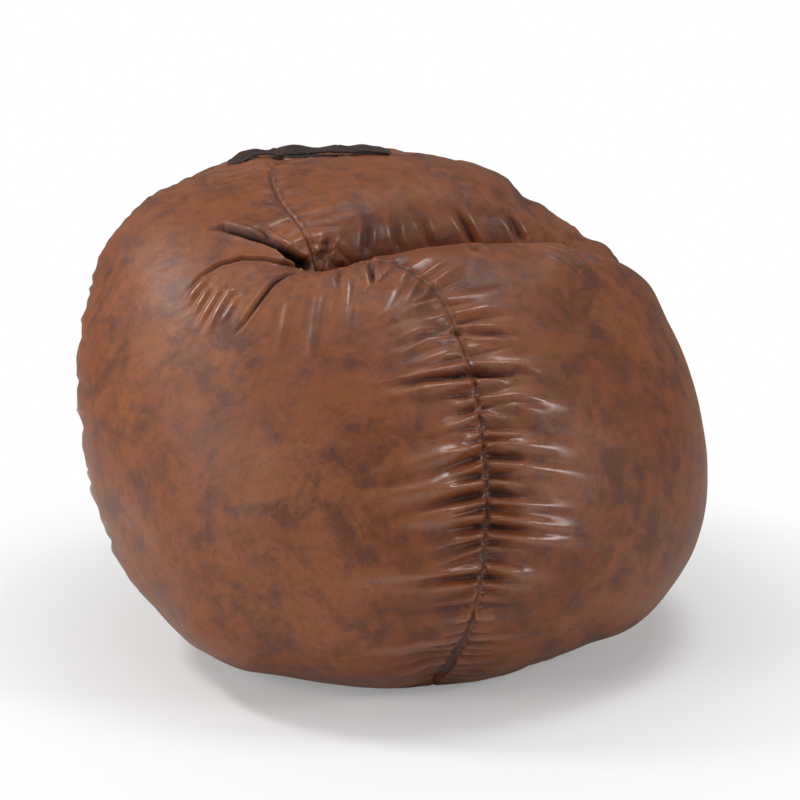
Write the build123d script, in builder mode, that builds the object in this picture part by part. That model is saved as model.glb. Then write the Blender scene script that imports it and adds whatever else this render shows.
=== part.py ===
# Bean bag chair: a four-panel cover over an inner bag of loose beads, pushed in to make a seat.
# Millimetres. +Z is up, -Y is the front, the origin is on the floor under the middle of the bag.
import os
from math import asin, atan2, copysign, cos, hypot, pi, radians, sin, tan

from build123d import *

os.makedirs("parts", exist_ok=True)

# The filled bag
BAG_WIDTH = 940.0
BAG_LEVEL_DEPTH = 848.0  # front to back of one level slice
BAG_HEIGHT = 700.0
WIDEST_HEIGHT = 298.0
FLOOR_SAG = 16.0  # how much of the round underside the floor flattens
TOP_FULLNESS = 2.46
BOTTOM_FULLNESS = 2.72
TOP_LEAN = 0.484
BOTTOM_LEAN = 0.133
LEAN_BLEND = 60.0

# The seat crease between the front lobe and the back lobe
CREASE_X = 45.0
CREASE_FORWARD = 260.0  # ahead of the middle of the level that it opens at
CREASE_DROP = 54.0  # below the top of the bag
CREASE_TILT = 35.0
CREASE_DEPTH = 122.0
CREASE_GAP = 8.0
LOBE_WIDTH = 108.0
LOBE_DEPTH = 134.0
CREASE_SWEEP_RADIUS = 760.0
CREASE_SWEEP_ANGLE = 50.0

# Cover, inner bag and the room between layers
COVER = 1.4
LAP_WIDTH = 14.0
LAP_GAP = 0.3
SEAM_GAP = 0.3
LINER = 0.6
LAYER_GAP = 0.4
LINER_SLACK = 3.0  # the inner bag lies loose inside the cover
SEW_GAP = 0.1

# Round top cap, round base and the turn of the four side seams
CAP_X = -37.0
CAP_BACK = 36.0  # behind the middle of the bag's top
CAP_RADIUS = 60.0
BASE_X = -25.0
BASE_RADIUS = 175.0
SEAM_TURN = -6.0
SEAM_DIP = 10.0  # how far the side seams draw the bag in
SEAM_DIP_SPREAD = 0.13  # share of a panel's width over which it swells out again
PANEL_MIDDLE = 0.30  # share of a panel's width between the points that shape its middle
SEAM_DIP_FADE = 330.0  # half width of a level at which the dip is full

# Zip across the base, set in a well that keeps the slider off the floor
ZIP_LENGTH = 250.0
WELL_HEIGHT = 7.0
WELL_WIDTH = 34.0
WELL_END = 14.0
WELL_SLOPE = 7.0
TAPE = 0.7
TAPE_WIDTH = 12.6
TAPE_TAIL = 9.0
TOOTH_PITCH = 3.2
TOOTH_WIDTH = 1.2
TOOTH_LENGTH = 2.7
TOOTH_REACH = 0.8
TOOTH_SPINE = 1.4
TOOTH_HEIGHT = 2.6
TOOTH_SLOT = 0.9
SLIDER_LENGTH = 15.0
SLIDER_WING = 1.1
SLIDER_RIM = 2.4
SLIDER_CLEAR = 0.3
SLIDER_TAPER = 0.8
POST_WIDTH = 1.6
POST_LENGTH = 4.0
STOP_LENGTH = 4.0
STOP_WALL = 0.8

# Zip of the inner bag
LINER_ZIP_OFFSET = 62.0  # behind the base zip
LINER_ZIP_LENGTH = 200.0
COIL_HEIGHT = 1.8

# Carry handle sewn across the top
HANDLE_AT_X = -49.0
HANDLE_BACK = 14.0  # behind the middle of the bag's top
HANDLE_SPAN = 250.0
HANDLE_WIDTH = 40.0
HANDLE_THICK = 3.0
HANDLE_TURN = -29.0
HANDLE_END = 42.0
HANDLE_HUMP = 15.0
HANDLE_DIP = 3.0
HANDLE_SEAT = 0.3

# How finely the curves are drawn
SLICES = 13
TOP_SLICE_ANGLE = 85.0
FIRST_SLICE_STEP = 9.0
HANDLE_STEPS = 16
FAR = 3000.0

MEAN_RADIUS = (BAG_WIDTH + BAG_LEVEL_DEPTH) / 4
FLOOR_ANGLE = -asin((WIDEST_HEIGHT / (WIDEST_HEIGHT + FLOOR_SAG)) ** (BOTTOM_FULLNESS / 2))
LAP_INSET = COVER + LAP_GAP
LAP_TOP = LAP_INSET + COVER


def lean(z):
    """How far the level at height z sits behind the widest level."""
    rise = z - WIDEST_HEIGHT
    bend = (rise + hypot(rise, LEAN_BLEND) - LEAN_BLEND) / 2
    return BOTTOM_LEAN * rise + (TOP_LEAN - BOTTOM_LEAN) * bend


def level(angle, inset):
    """Half width, half depth and height of the level at one latitude, moved in by inset."""
    full = TOP_FULLNESS if angle > 0 else BOTTOM_FULLNESS
    span = BAG_HEIGHT - WIDEST_HEIGHT if angle > 0 else WIDEST_HEIGHT + FLOOR_SAG
    share = cos(angle) ** (2 / full)
    rise = copysign(abs(sin(angle)) ** (2 / full), angle) * span
    out = cos(angle) ** (2 - 2 / full) / MEAN_RADIUS
    up = copysign(abs(sin(angle)) ** (2 - 2 / full), angle) / span
    inward = inset / hypot(out, up)
    half_width = BAG_WIDTH / 2 * share - inward * out
    half_depth = BAG_LEVEL_DEPTH / 2 * share - inward * out
    return half_width, half_depth, WIDEST_HEIGHT + rise - inward * up


def floor_level(inset):
    """The lowest level, where the floor flattens the bag."""
    half_width, half_depth, _ = level(FLOOR_ANGLE, 0)
    next_width, _, next_height = level(FLOOR_ANGLE, 1)
    slope = atan2(half_width - next_width, next_height)
    shrink = inset * tan(slope / 2)
    return half_width - shrink, half_depth - shrink, inset


# The levels slide along Y so that the whole bag is centred front to back
OUTLINE_STEPS = 90
LEVELS = [level(FLOOR_ANGLE + (pi / 2 - FLOOR_ANGLE) * i / OUTLINE_STEPS, 0) for i in range(OUTLINE_STEPS)]
BACK_REACH = max(half_depth + lean(z) for _, half_depth, z in LEVELS)
FRONT_REACH = max(half_depth - lean(z) for _, half_depth, z in LEVELS)
CENTRE_SHIFT = (FRONT_REACH - BACK_REACH) / 2
BASE_Y = CENTRE_SHIFT + lean(0)
TOP_Y = CENTRE_SHIFT + lean(BAG_HEIGHT)
CAP_Y = TOP_Y + CAP_BACK
HANDLE_AT_Y = TOP_Y + HANDLE_BACK
CREASE_Z = BAG_HEIGHT - CREASE_DROP
CREASE_Y = CENTRE_SHIFT + lean(CREASE_Z) - CREASE_FORWARD


def top_height(x, y):
    """Height of the bag's upper surface over a point near its top."""
    z = BAG_HEIGHT
    for _ in range(40):
        away = hypot(x / (BAG_WIDTH / 2), (y - CENTRE_SHIFT - lean(z)) / (BAG_LEVEL_DEPTH / 2))
        z = WIDEST_HEIGHT + (BAG_HEIGHT - WIDEST_HEIGHT) * (1 - away**TOP_FULLNESS) ** (1 / TOP_FULLNESS)
    return z


# The side seams lie in planes through a line from the middle of the base to the middle of the cap
SEAM_AXIS = Vector(CAP_X - BASE_X, CAP_Y - BASE_Y, top_height(CAP_X, CAP_Y)).normalized()
SEAM_BACK = SEAM_AXIS.cross(Vector(cos(radians(SEAM_TURN)), sin(radians(SEAM_TURN)), 0)).normalized()
SEAM_RIGHT = SEAM_BACK.cross(SEAM_AXIS)
SEAM_TURNS = (SEAM_RIGHT, SEAM_BACK, -SEAM_RIGHT, -SEAM_BACK)


def seam_angles(half_width, half_depth, z):
    """Where the four seam planes cross the ellipse of one level, as angles round it."""
    foot = Vector(BASE_X, BASE_Y, 0) + SEAM_AXIS * (z / SEAM_AXIS.Z)
    start_x = foot.X / half_width
    start_y = (foot.Y - CENTRE_SHIFT - lean(z)) / half_depth
    angles = []
    for turn in SEAM_TURNS:
        run = turn - SEAM_AXIS * (turn.Z / SEAM_AXIS.Z)
        run_x, run_y = run.X / half_width, run.Y / half_depth
        square = run_x**2 + run_y**2
        middle = (start_x * run_x + start_y * run_y) / square
        reach = max(middle**2 - (start_x**2 + start_y**2 - 1) / square, 0) ** 0.5 - middle
        angles.append(atan2(start_y + reach * run_y, start_x + reach * run_x))
    return angles


def section(half_width, half_depth, z):
    """Points round one level, drawn in at the side seams."""
    angles = seam_angles(half_width, half_depth, z)
    full = min(max((half_width - BASE_RADIUS) / (SEAM_DIP_FADE - BASE_RADIUS), 0), 1)
    points = []
    for start, end in zip(angles, angles[1:] + angles[:1]):
        turn = (end - start) % (2 * pi)
        middle = ((1 - PANEL_MIDDLE) / 2, (1 + PANEL_MIDDLE) / 2)
        for share in (0, SEAM_DIP_SPREAD, *middle, 1 - SEAM_DIP_SPREAD):
            angle = start + turn * share
            scale = 1 - (full * SEAM_DIP / half_width if share == 0 else 0)
            y = CENTRE_SHIFT + lean(z) + half_depth * scale * sin(angle)
            points.append((half_width * scale * cos(angle), y))
    return points


def bag(inset):
    """The filled bag moved in by inset, before the seat is pushed in."""
    first = FLOOR_ANGLE + radians(FIRST_SLICE_STEP)
    step = (radians(TOP_SLICE_ANGLE) - first) / (SLICES - 1)
    slices = [floor_level(inset)] + [level(first + step * i, inset) for i in range(SLICES)]
    with BuildPart() as body:
        for half_width, half_depth, z in slices:
            with BuildSketch(Plane.XY.offset(z)):
                with BuildLine():
                    Spline(*section(half_width, half_depth, z), periodic=True)
                make_face()
        loft()
    return body.part


def crease(inset):
    """The space between the two lobes, moved in by inset: the rim of a wide blade with hollow flanks."""
    tilt = radians(CREASE_TILT)
    side = Vector(1, 0, 0)
    down = Vector(0, sin(tilt), -cos(tilt))
    across = side.cross(down)
    centre = Vector(CREASE_X, CREASE_Y, CREASE_Z) - down * (CREASE_SWEEP_RADIUS - CREASE_DEPTH)
    start = radians(CREASE_SWEEP_ANGLE / 2)
    radial = down * cos(start) + side * sin(start)
    half = CREASE_GAP / 2 + inset
    outer = CREASE_GAP / 2 + LOBE_WIDTH
    lobe_width = LOBE_WIDTH - inset
    lobe_depth = LOBE_DEPTH - inset
    rim = CREASE_SWEEP_RADIUS - CREASE_GAP / 2
    back = rim - 2 * LOBE_DEPTH
    with BuildPart() as blade:
        with BuildSketch(Plane(centre, x_dir=across, z_dir=across.cross(radial))):
            with BuildLine():
                ThreePointArc((-half, rim), (0, rim + half), (half, rim))
                EllipticalCenterArc((outer, rim), lobe_width, lobe_depth, start_angle=180, arc_size=90)
                Polyline((outer, rim - lobe_depth), (outer, back), (-outer, back), (-outer, rim - lobe_depth))
                EllipticalCenterArc((-outer, rim), lobe_width, lobe_depth, start_angle=270, arc_size=90)
            make_face()
        revolve(axis=Axis(centre, across), revolution_arc=CREASE_SWEEP_ANGLE)
    return blade.part


def layer(inset, floor=0.0):
    """The bag with its seat, moved in by inset and cut off at a floor height."""
    with BuildPart() as solid:
        add(bag(inset))
        add(crease(inset), mode=Mode.SUBTRACT)
        if floor > inset:
            with Locations((0, 0, floor - FAR / 2)):
                Box(FAR, FAR, FAR, mode=Mode.SUBTRACT)
    return solid.part


def keep(part, name):
    """Name one finished piece and write it out."""
    part.label = name
    export_step(part, f"parts/{name}.step")


with BuildPart() as cover:
    add(layer(0))
    add(layer(COVER), mode=Mode.SUBTRACT)


def seam_frame(x_dir):
    """A plane across the seam axis, turned so that its X axis points a given way."""
    return Plane(origin=(BASE_X, BASE_Y, 0), x_dir=x_dir, z_dir=SEAM_AXIS)


def round_cut(x, y, way, radius):
    """An upright cylinder that starts at the widest level and goes up or down."""
    with BuildPart() as cut:
        with Locations((x, y, WIDEST_HEIGHT + way * FAR / 2)):
            Cylinder(radius, FAR)
    return cut.part


# Four side panels that meet at the seams
for side, x_dir in zip(("front_left", "front_right", "back_right", "back_left"), SEAM_TURNS):
    corner = seam_frame(x_dir).location * Pos(-(FAR + SEAM_GAP) / 2, -(FAR + SEAM_GAP) / 2, 0)
    with BuildPart() as side_panel:
        add(cover.part)
        with Locations(corner):
            Box(FAR, FAR, FAR, mode=Mode.INTERSECT)
        add(round_cut(CAP_X, CAP_Y, 1, CAP_RADIUS + SEAM_GAP / 2), mode=Mode.SUBTRACT)
        add(round_cut(BASE_X, BASE_Y, -1, BASE_RADIUS + SEAM_GAP / 2), mode=Mode.SUBTRACT)
    keep(side_panel.part, f"cover_panel_{side}")

# Round cap that closes the top
with BuildPart() as top_cap:
    add(cover.part)
    add(round_cut(CAP_X, CAP_Y, 1, CAP_RADIUS - SEAM_GAP / 2), mode=Mode.INTERSECT)
keep(top_cap.part, "cover_top_cap")

# Base in two halves round the zip, lapped over the panels' lower edges
ZIP_PLATE = WELL_HEIGHT + COVER
TAPE_MID = ZIP_PLATE + SEW_GAP + TAPE / 2
CHAIN_HALF = TOOTH_LENGTH - TOOTH_REACH + TOOTH_SPINE
SLIDER_HALF = CHAIN_HALF + SLIDER_CLEAR + SLIDER_RIM
SLIT_HALF = SLIDER_HALF + 2 * SLIDER_CLEAR
TAPE_EDGE = CHAIN_HALF - TOOTH_SLOT
WELL_LENGTH = ZIP_LENGTH + 2 * WELL_END


def well(shrink, top):
    """The tapered block of the zip well, shrunk on each side and stopped below a height."""
    with BuildPart() as block:
        with BuildSketch(Plane((BASE_X, BASE_Y, 0))):
            Rectangle(WELL_LENGTH + 2 * (WELL_SLOPE - shrink), WELL_WIDTH + 2 * (WELL_SLOPE - shrink))
        with BuildSketch(Plane((BASE_X, BASE_Y, top))):
            Rectangle(WELL_LENGTH - 2 * shrink, WELL_WIDTH - 2 * shrink)
        loft()
    return block.part


for side, half in (("front", -1), ("rear", 1)):
    with BuildPart() as base_half:
        with Locations((BASE_X, BASE_Y, 0)):
            Cylinder(BASE_RADIUS - SEAM_GAP / 2, LAP_TOP, align=(Align.CENTER, Align.CENTER, Align.MIN))
        with Locations((BASE_X, BASE_Y, LAP_INSET)):
            Cylinder(BASE_RADIUS + LAP_WIDTH, COVER, align=(Align.CENTER, Align.CENTER, Align.MIN))
        with Locations((BASE_X, BASE_Y, COVER)):
            Cylinder(
                BASE_RADIUS - LAP_WIDTH,
                LAP_TOP,
                align=(Align.CENTER, Align.CENTER, Align.MIN),
                mode=Mode.SUBTRACT,
            )
        add(well(0, ZIP_PLATE))
        add(well(COVER, WELL_HEIGHT), mode=Mode.SUBTRACT)
        with Locations((BASE_X, BASE_Y, ZIP_PLATE)):
            Box(ZIP_LENGTH + 2 * TAPE_TAIL, 2 * SLIT_HALF, 2 * ZIP_PLATE, mode=Mode.SUBTRACT)
        with Locations((BASE_X, BASE_Y - half * (FAR - SEAM_GAP) / 2, 0)):
            Box(FAR, FAR, FAR, mode=Mode.SUBTRACT)
    keep(base_half.part, f"base_panel_{side}")


def tape(x, y, mid, length, half, edge):
    """One woven zip tape, with its inner edge a given way from the middle of the zip."""
    with BuildPart() as strip:
        with Locations((x, y + half * (edge + TAPE_WIDTH / 2), mid)):
            Box(length + 2 * TAPE_TAIL, TAPE_WIDTH, TAPE)
    return strip.part


def slider(x, y, mid, chain_half, chain_height):
    """A slider without a pull: two wings, a post at the leading end and rims that guide the teeth."""
    room = chain_height / 2 + SLIDER_CLEAR
    inside = chain_half + SLIDER_CLEAR
    outside = inside + SLIDER_RIM
    tape_room = TAPE / 2 + SLIDER_CLEAR
    nose = SLIDER_LENGTH / 2
    with BuildPart() as body:
        with BuildSketch(Plane((x, y, mid - room - SLIDER_WING))):
            with BuildLine():
                Polyline(
                    (nose, outside),
                    (-nose, outside - SLIDER_TAPER),
                    (-nose, SLIDER_TAPER - outside),
                    (nose, -outside),
                    close=True,
                )
            make_face()
        extrude(amount=2 * (room + SLIDER_WING))
        with Locations((x, y, mid)):
            Box(2 * SLIDER_LENGTH, 2 * inside, 2 * room, mode=Mode.SUBTRACT)
            Box(2 * SLIDER_LENGTH, 4 * outside, 2 * tape_room, mode=Mode.SUBTRACT)
        with BuildSketch(Plane((x + nose - POST_LENGTH / 2, y, mid - room))):
            with BuildLine():
                Polyline(
                    (POST_LENGTH / 2, 0),
                    (0, POST_WIDTH / 2),
                    (-POST_LENGTH / 2, 0),
                    (0, -POST_WIDTH / 2),
                    close=True,
                )
            make_face()
        extrude(amount=2 * room)
    return body.part


# Base zip: tapes, toothed edges, slider at its closed end, a stop at each end
SLIDER_REST = ZIP_LENGTH / 2 - SLIDER_LENGTH / 2
CHAIN_END = ZIP_LENGTH / 2 - POST_LENGTH - SLIDER_CLEAR
TEETH = int((ZIP_LENGTH / 2 + CHAIN_END) / TOOTH_PITCH) - 1
for side, half in (("front", -1), ("rear", 1)):
    keep(tape(BASE_X, BASE_Y, TAPE_MID, ZIP_LENGTH, half, TAPE_EDGE), f"zipper_tape_{side}")
    chain_start = CHAIN_END - (TEETH + 1) * TOOTH_PITCH
    chain_middle = BASE_X + (CHAIN_END + chain_start) / 2
    with BuildPart() as teeth:
        with BuildSketch(Plane((0, BASE_Y, TAPE_MID - TOOTH_HEIGHT / 2))):
            with Locations((chain_middle, half * (CHAIN_HALF - TOOTH_SPINE / 2))):
                Rectangle(CHAIN_END - chain_start, TOOTH_SPINE)
            first = BASE_X + chain_start + TOOTH_PITCH * (3 + half) / 4
            for i in range(TEETH):
                with Locations((first + i * TOOTH_PITCH, half * (TOOTH_LENGTH / 2 - TOOTH_REACH))):
                    Rectangle(TOOTH_WIDTH, TOOTH_LENGTH)
        extrude(amount=TOOTH_HEIGHT)
        with Locations((chain_middle, BASE_Y + half * CHAIN_HALF, TAPE_MID)):
            Box(FAR, 2 * (TOOTH_SLOT + SEW_GAP), TAPE + 2 * SEW_GAP, mode=Mode.SUBTRACT)
    keep(teeth.part, f"zipper_teeth_{side}")
keep(slider(BASE_X + SLIDER_REST, BASE_Y, TAPE_MID, CHAIN_HALF, TOOTH_HEIGHT), "zipper_slider")

for side, end in (("closed", 1), ("open", -1)):
    stop_x = BASE_X + end * (ZIP_LENGTH / 2 + SLIDER_CLEAR + STOP_LENGTH / 2)
    tape_gap = TAPE / 2 + SEW_GAP
    with BuildPart() as stop:
        with Locations((stop_x, BASE_Y, TAPE_MID)):
            Box(STOP_LENGTH, 2 * CHAIN_HALF, 2 * (tape_gap + STOP_WALL))
            with Locations((0, CHAIN_HALF), (0, -CHAIN_HALF)):
                Box(STOP_LENGTH, 2 * (CHAIN_HALF - TAPE_EDGE + SEW_GAP), 2 * tape_gap, mode=Mode.SUBTRACT)
    keep(stop.part, f"zipper_stop_{side}")

# Inner bag in two halves, with its own coil zip behind the base zip
LINER_FLOOR = TAPE_MID + TOOTH_HEIGHT / 2 + SLIDER_CLEAR + SLIDER_WING + 2 * LAYER_GAP
LINER_INSET = COVER + LINER_SLACK
FILL_INSET = LINER_INSET + LINER + LINER_SLACK
FILL_FLOOR = LINER_FLOOR + LINER + LAYER_GAP
LINER_ZIP_Y = BASE_Y + LINER_ZIP_OFFSET
LINER_TAPE_MID = LINER_FLOOR + LINER + SEW_GAP + TAPE / 2
COIL_HALF = CHAIN_HALF - TOOTH_SPINE
LINER_SLIT = 2 * (COIL_HALF + 2 * SLIDER_CLEAR + SLIDER_RIM)

with BuildPart() as lining:
    add(layer(LINER_INSET, LINER_FLOOR))
    add(layer(LINER_INSET + LINER, LINER_FLOOR + LINER), mode=Mode.SUBTRACT)
    with Locations((BASE_X, LINER_ZIP_Y, LINER_FLOOR)):
        Box(LINER_ZIP_LENGTH + 2 * STOP_LENGTH, LINER_SLIT, 4 * LINER, mode=Mode.SUBTRACT)
LINER_FRAME = seam_frame(SEAM_RIGHT)
for side, half in (("front", -1), ("rear", 1)):
    with BuildPart() as liner_half:
        add(lining.part)
        with Locations(LINER_FRAME.location * Pos(0, half * (FAR + SEAM_GAP) / 2, 0)):
            Box(FAR, FAR, FAR, mode=Mode.INTERSECT)
    keep(liner_half.part, f"liner_{side}")

COIL_EDGE = COIL_HALF - TOOTH_SLOT
for side, half in (("front", -1), ("rear", 1)):
    liner_tape = tape(BASE_X, LINER_ZIP_Y, LINER_TAPE_MID, LINER_ZIP_LENGTH, half, COIL_EDGE)
    keep(liner_tape, f"liner_zip_tape_{side}")
    with BuildPart() as coil:
        with BuildSketch(Plane((BASE_X, LINER_ZIP_Y, LINER_TAPE_MID), x_dir=(0, 1, 0), z_dir=(1, 0, 0))):
            with Locations((half * (COIL_HALF + SEW_GAP) / 2, 0)):
                RectangleRounded(COIL_HALF - SEW_GAP, COIL_HEIGHT, COIL_HALF / 4)
            with Locations((half * COIL_HALF, 0)):
                Rectangle(2 * (TOOTH_SLOT + SEW_GAP), TAPE + 2 * SEW_GAP, mode=Mode.SUBTRACT)
        extrude(amount=(LINER_ZIP_LENGTH - SLIDER_LENGTH) / 2, both=True)
    keep(coil.part, f"liner_zip_coil_{side}")
LINER_SLIDER_REST = BASE_X + LINER_ZIP_LENGTH / 2 - SLIDER_LENGTH / 2
keep(slider(LINER_SLIDER_REST, LINER_ZIP_Y, LINER_TAPE_MID, COIL_HALF, COIL_HEIGHT), "liner_zip_slider")

# Loose bead filling as one body, with room for the inner zip
SLIDER_TOP = LINER_TAPE_MID + COIL_HEIGHT / 2 + SLIDER_CLEAR + SLIDER_WING + LAYER_GAP
with BuildPart() as bead_fill:
    add(layer(FILL_INSET, FILL_FLOOR))
    with Locations((BASE_X, LINER_ZIP_Y, 0)):
        Box(
            LINER_ZIP_LENGTH + 2 * TAPE_TAIL + 2 * STOP_LENGTH,
            2 * (COIL_EDGE + TAPE_WIDTH + LAYER_GAP),
            2 * SLIDER_TOP,
            mode=Mode.SUBTRACT,
        )
keep(bead_fill.part, "bead_fill")

# Carry handle: a slack strap with two humps between flat sewn ends
HANDLE_X = (cos(radians(HANDLE_TURN)), sin(radians(HANDLE_TURN)), 0)
HANDLE_PLANE = Plane((HANDLE_AT_X, HANDLE_AT_Y, 0), x_dir=HANDLE_X, z_dir=(HANDLE_X[1], -HANDLE_X[0], 0))
SLACK_HALF = HANDLE_SPAN / 2 - HANDLE_END


def strap_height(along):
    """Height of the strap's underside at a distance along it from its middle."""
    edges = []
    for out in (-HANDLE_WIDTH / 2, 0, HANDLE_WIDTH / 2):
        x = HANDLE_AT_X + along * HANDLE_X[0] - out * HANDLE_X[1]
        y = HANDLE_AT_Y + along * HANDLE_X[1] + out * HANDLE_X[0]
        edges.append(top_height(x, y))
    share = min(max((along + SLACK_HALF) / SLACK_HALF, 0), 2)
    humps = HANDLE_HUMP * sin(pi * share) ** 2 + HANDLE_DIP * sin(pi * share / 2) ** 2
    return max(edges) + HANDLE_SEAT + humps


def strap(start, end):
    """A length of the strap between two places along it."""
    points = [start + (end - start) * i / HANDLE_STEPS for i in range(HANDLE_STEPS + 1)]
    under = [(along, strap_height(along)) for along in points]
    over = [(along, z + HANDLE_THICK) for along, z in under]
    with BuildPart() as band:
        with BuildSketch(HANDLE_PLANE):
            with BuildLine():
                Spline(*under)
                Line(under[-1], over[-1])
                Spline(*reversed(over))
                Line(over[0], under[0])
            make_face()
        extrude(amount=HANDLE_WIDTH / 2, both=True)
    return band.part


keep(strap(-SLACK_HALF, SLACK_HALF), "carry_handle")
keep(strap(-HANDLE_SPAN / 2, -SLACK_HALF - SEAM_GAP), "handle_end_left")
keep(strap(SLACK_HALF + SEAM_GAP, HANDLE_SPAN / 2), "handle_end_right")
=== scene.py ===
# Bean bag chair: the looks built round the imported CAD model. Metres, +Z up, -Y the front.
import random
from math import cos, pi, radians, sin

import bmesh
import bpy
import numpy as np
from mathutils import Matrix, Vector, noise
from mathutils.bvhtree import BVHTree
from mathutils.kdtree import KDTree


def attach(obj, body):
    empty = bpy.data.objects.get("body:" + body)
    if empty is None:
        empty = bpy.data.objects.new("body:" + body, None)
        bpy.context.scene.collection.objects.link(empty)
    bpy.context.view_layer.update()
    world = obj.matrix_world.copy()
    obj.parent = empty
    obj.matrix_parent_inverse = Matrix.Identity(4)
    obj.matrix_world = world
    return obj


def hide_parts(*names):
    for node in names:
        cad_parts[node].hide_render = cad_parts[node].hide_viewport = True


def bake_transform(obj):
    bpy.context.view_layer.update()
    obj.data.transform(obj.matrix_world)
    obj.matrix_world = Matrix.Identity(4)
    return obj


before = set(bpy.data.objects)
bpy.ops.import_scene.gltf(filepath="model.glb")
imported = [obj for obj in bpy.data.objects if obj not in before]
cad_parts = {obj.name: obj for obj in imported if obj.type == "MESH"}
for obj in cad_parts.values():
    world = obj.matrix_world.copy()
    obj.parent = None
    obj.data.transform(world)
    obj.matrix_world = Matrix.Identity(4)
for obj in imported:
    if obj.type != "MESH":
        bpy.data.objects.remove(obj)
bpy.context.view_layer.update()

# The filled bag, in the CAD model's sizes
BAG_HALF_WIDTH = 0.470
BAG_HALF_DEPTH = 0.424
BAG_HEIGHT = 0.700
WIDEST_HEIGHT = 0.298
FLOOR_SAG = 0.016
TOP_FULLNESS = 2.46
BOTTOM_FULLNESS = 2.72
TOP_LEAN = 0.484
BOTTOM_LEAN = 0.133
LEAN_BLEND = 0.060
CENTRE_SHIFT = -0.0206
BAG_REACH = 1.2

# Round top cap, round base, and the axis that the side seams turn about
CAP_MIDDLE = np.array((-0.037, 0.200))
CAP_RADIUS = 0.060
CAP_TOP = 0.698
BASE_MIDDLE = np.array((-0.025, -0.0698))
BASE_RADIUS = 0.175
SEAM_TURN = -6.0
BAG_HEART_HEIGHT = 0.330
RING_START = -0.6

# Seat crease: its mouth, and how it runs from left to right of the mouth
CREASE_MOUTH = np.array((0.030, -0.122, 0.646))
CREASE_TILT = 35.0
CREASE_RUN = (-0.28, -0.24, -0.20, -0.10, 0.00, 0.10, 0.20, 0.30, 0.38, 0.45)
CREASE_DEPTH = (0.000, 0.030, 0.070, 0.110, 0.122, 0.116, 0.092, 0.055, 0.020, 0.000)
LOBE_WIDTH = (0.040, 0.055, 0.075, 0.100, 0.110, 0.110, 0.100, 0.085, 0.065, 0.040)
CREASE_BEND = (-0.036, -0.034, -0.030, -0.012, 0.000, 0.000, -0.005, -0.012, -0.020, -0.024)
SEAT_REACH = 0.300
SEAT_FADE = 4.0

# How the front seam swings off its plane, by the angle down from the cap
SWING_DOWN = (8, 20, 30, 43, 56, 65, 74, 92, 111, 123, 146)
SWING_FRONT = (-48, -49, -39, -30, -22, -4, 2, 2, -1, -4, -11)
SWING_LEFT = -12

# Grid of each side panel before it is smoothed
PANEL_COLUMNS = 52
PANEL_ROWS = 92
SEAM_CROWDING = 0.40
SMOOTHINGS = 2
BISECTIONS = 34
SEWN_WITHIN = 0.0002

# Where a side panel's ends are looked for, by the angle down from the cap
END_TRIES = 3
TOP_GUESS = 15.0
BOTTOM_GUESS = 150.0
CAP_SEARCH = (0.0, 1.2)
BASE_SEARCH = (1.9, pi)

# The fill pressing on the cover, and what holds the cover still meanwhile
PRESS_FRAMES = 20
PRESS_FORCE = 4.0
PRESS_CAP = 0.006
SEAM_DRAW = 0.04
PANEL_EASE = -0.02
CREASE_HOLD = 2.5
FLOOR_HOLD_HEIGHT = 0.004
CAP_HOLD = 0.6
CAP_HOLD_WIDTH = 0.03
LEAST_HOLD = 0.01
CLOTH_FEEL = {
    "quality": 5,
    "mass": 0.3,
    "tension_stiffness": 25,
    "compression_stiffness": 25,
    "shear_stiffness": 10,
    "bending_stiffness": 0.3,
}

# Camera that took the photograph, which is 800 pixels square
PHOTO_SIDE = 800
CAMERA_TURN = -28.0
CAMERA_RISE = 14.0
CAMERA_AWAY = 3.2
CAMERA_AIM = np.array((0.0, -0.0206, 0.340))
AIM_PIXEL = (397.3, 408.0)
FOCAL_PIXELS = 2128.6
SENSOR = 36.0

# Seams and their puckers
GROOVE_DEPTH = 0.0016
GROOVE_WIDTH = 0.0030
STITCH_PITCH = 0.0046
STITCH_LENGTH = 0.0034
STITCH_THICK = 0.0010
STITCH_AWAY = 0.0075
STITCH_LIFT = 0.15
STITCH_SIDES = 6
STITCH_RINGS = 4
FLOOR_STITCH = 0.004
PUCKER_SEED = 11
PUCKER_PITCH = 0.0108
PUCKER_HEIGHT = 0.0150
PUCKER_WIDTH = 0.0046
PUCKER_REACH = 0.080
PUCKER_LIMIT = 2.5
PUCKER_FAN = 0.12
PUCKER_MIDDLE = 0.32
PUCKER_SPREAD = 0.19
PITCH_RANGE = (0.6, 1.5)
HEIGHT_RANGE = (0.25, 1.1)
WIDTH_RANGE = (0.8, 1.3)
RIDGE_WIDTH = 1.15
HOLLOW_WIDTH = 0.75
RIGHT_REACH = (0.3, 1.3)
LEFT_REACH = (0.3, 1.4)
RIGHT_SLANT = (-0.06, 0.16)
LEFT_SLANT = (0.10, 0.40)
LEAST_PULL = 0.14
RING_PULL = 0.12
RING_REACH = 0.35
FINE_REACH = 0.026
FINE_SLANT = 0.2
SEAM_APART = 3.0
SEAM_TAUT = 0.78
SEAM_TAUT_WIDTH = 0.006
RIDGE_POWER = 1.6
VALLEY_POWER = 1.25
ROUND_POWER = 2.0
FRONT_SEAM = (0, 1)
FINE_BY_SEAM = 0.055
FINE_BY_FOLD = 0.016

# Shares of a photographed fold: where it is worked out, its shoulder, and how its two ends fade
FOLD_REACH = 5
SHOULDER_AWAY = 1.9
TAIL_FADE = 2.2
HEAD_FADE = 8
HEAD_START = 0.5

# Dents of the loose fill, and the height by which the cover's relief is whole
BROAD_DENT = 0.0035
BROAD_DENT_SCALE = 7.0
SMALL_DENT = 0.0011
SMALL_DENT_SCALE = 19.0
SMALL_DENT_SHIFT = (5, 1, 3)
FLAT_HEIGHT = 0.002
RELIEF_RISE = 0.018

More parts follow.
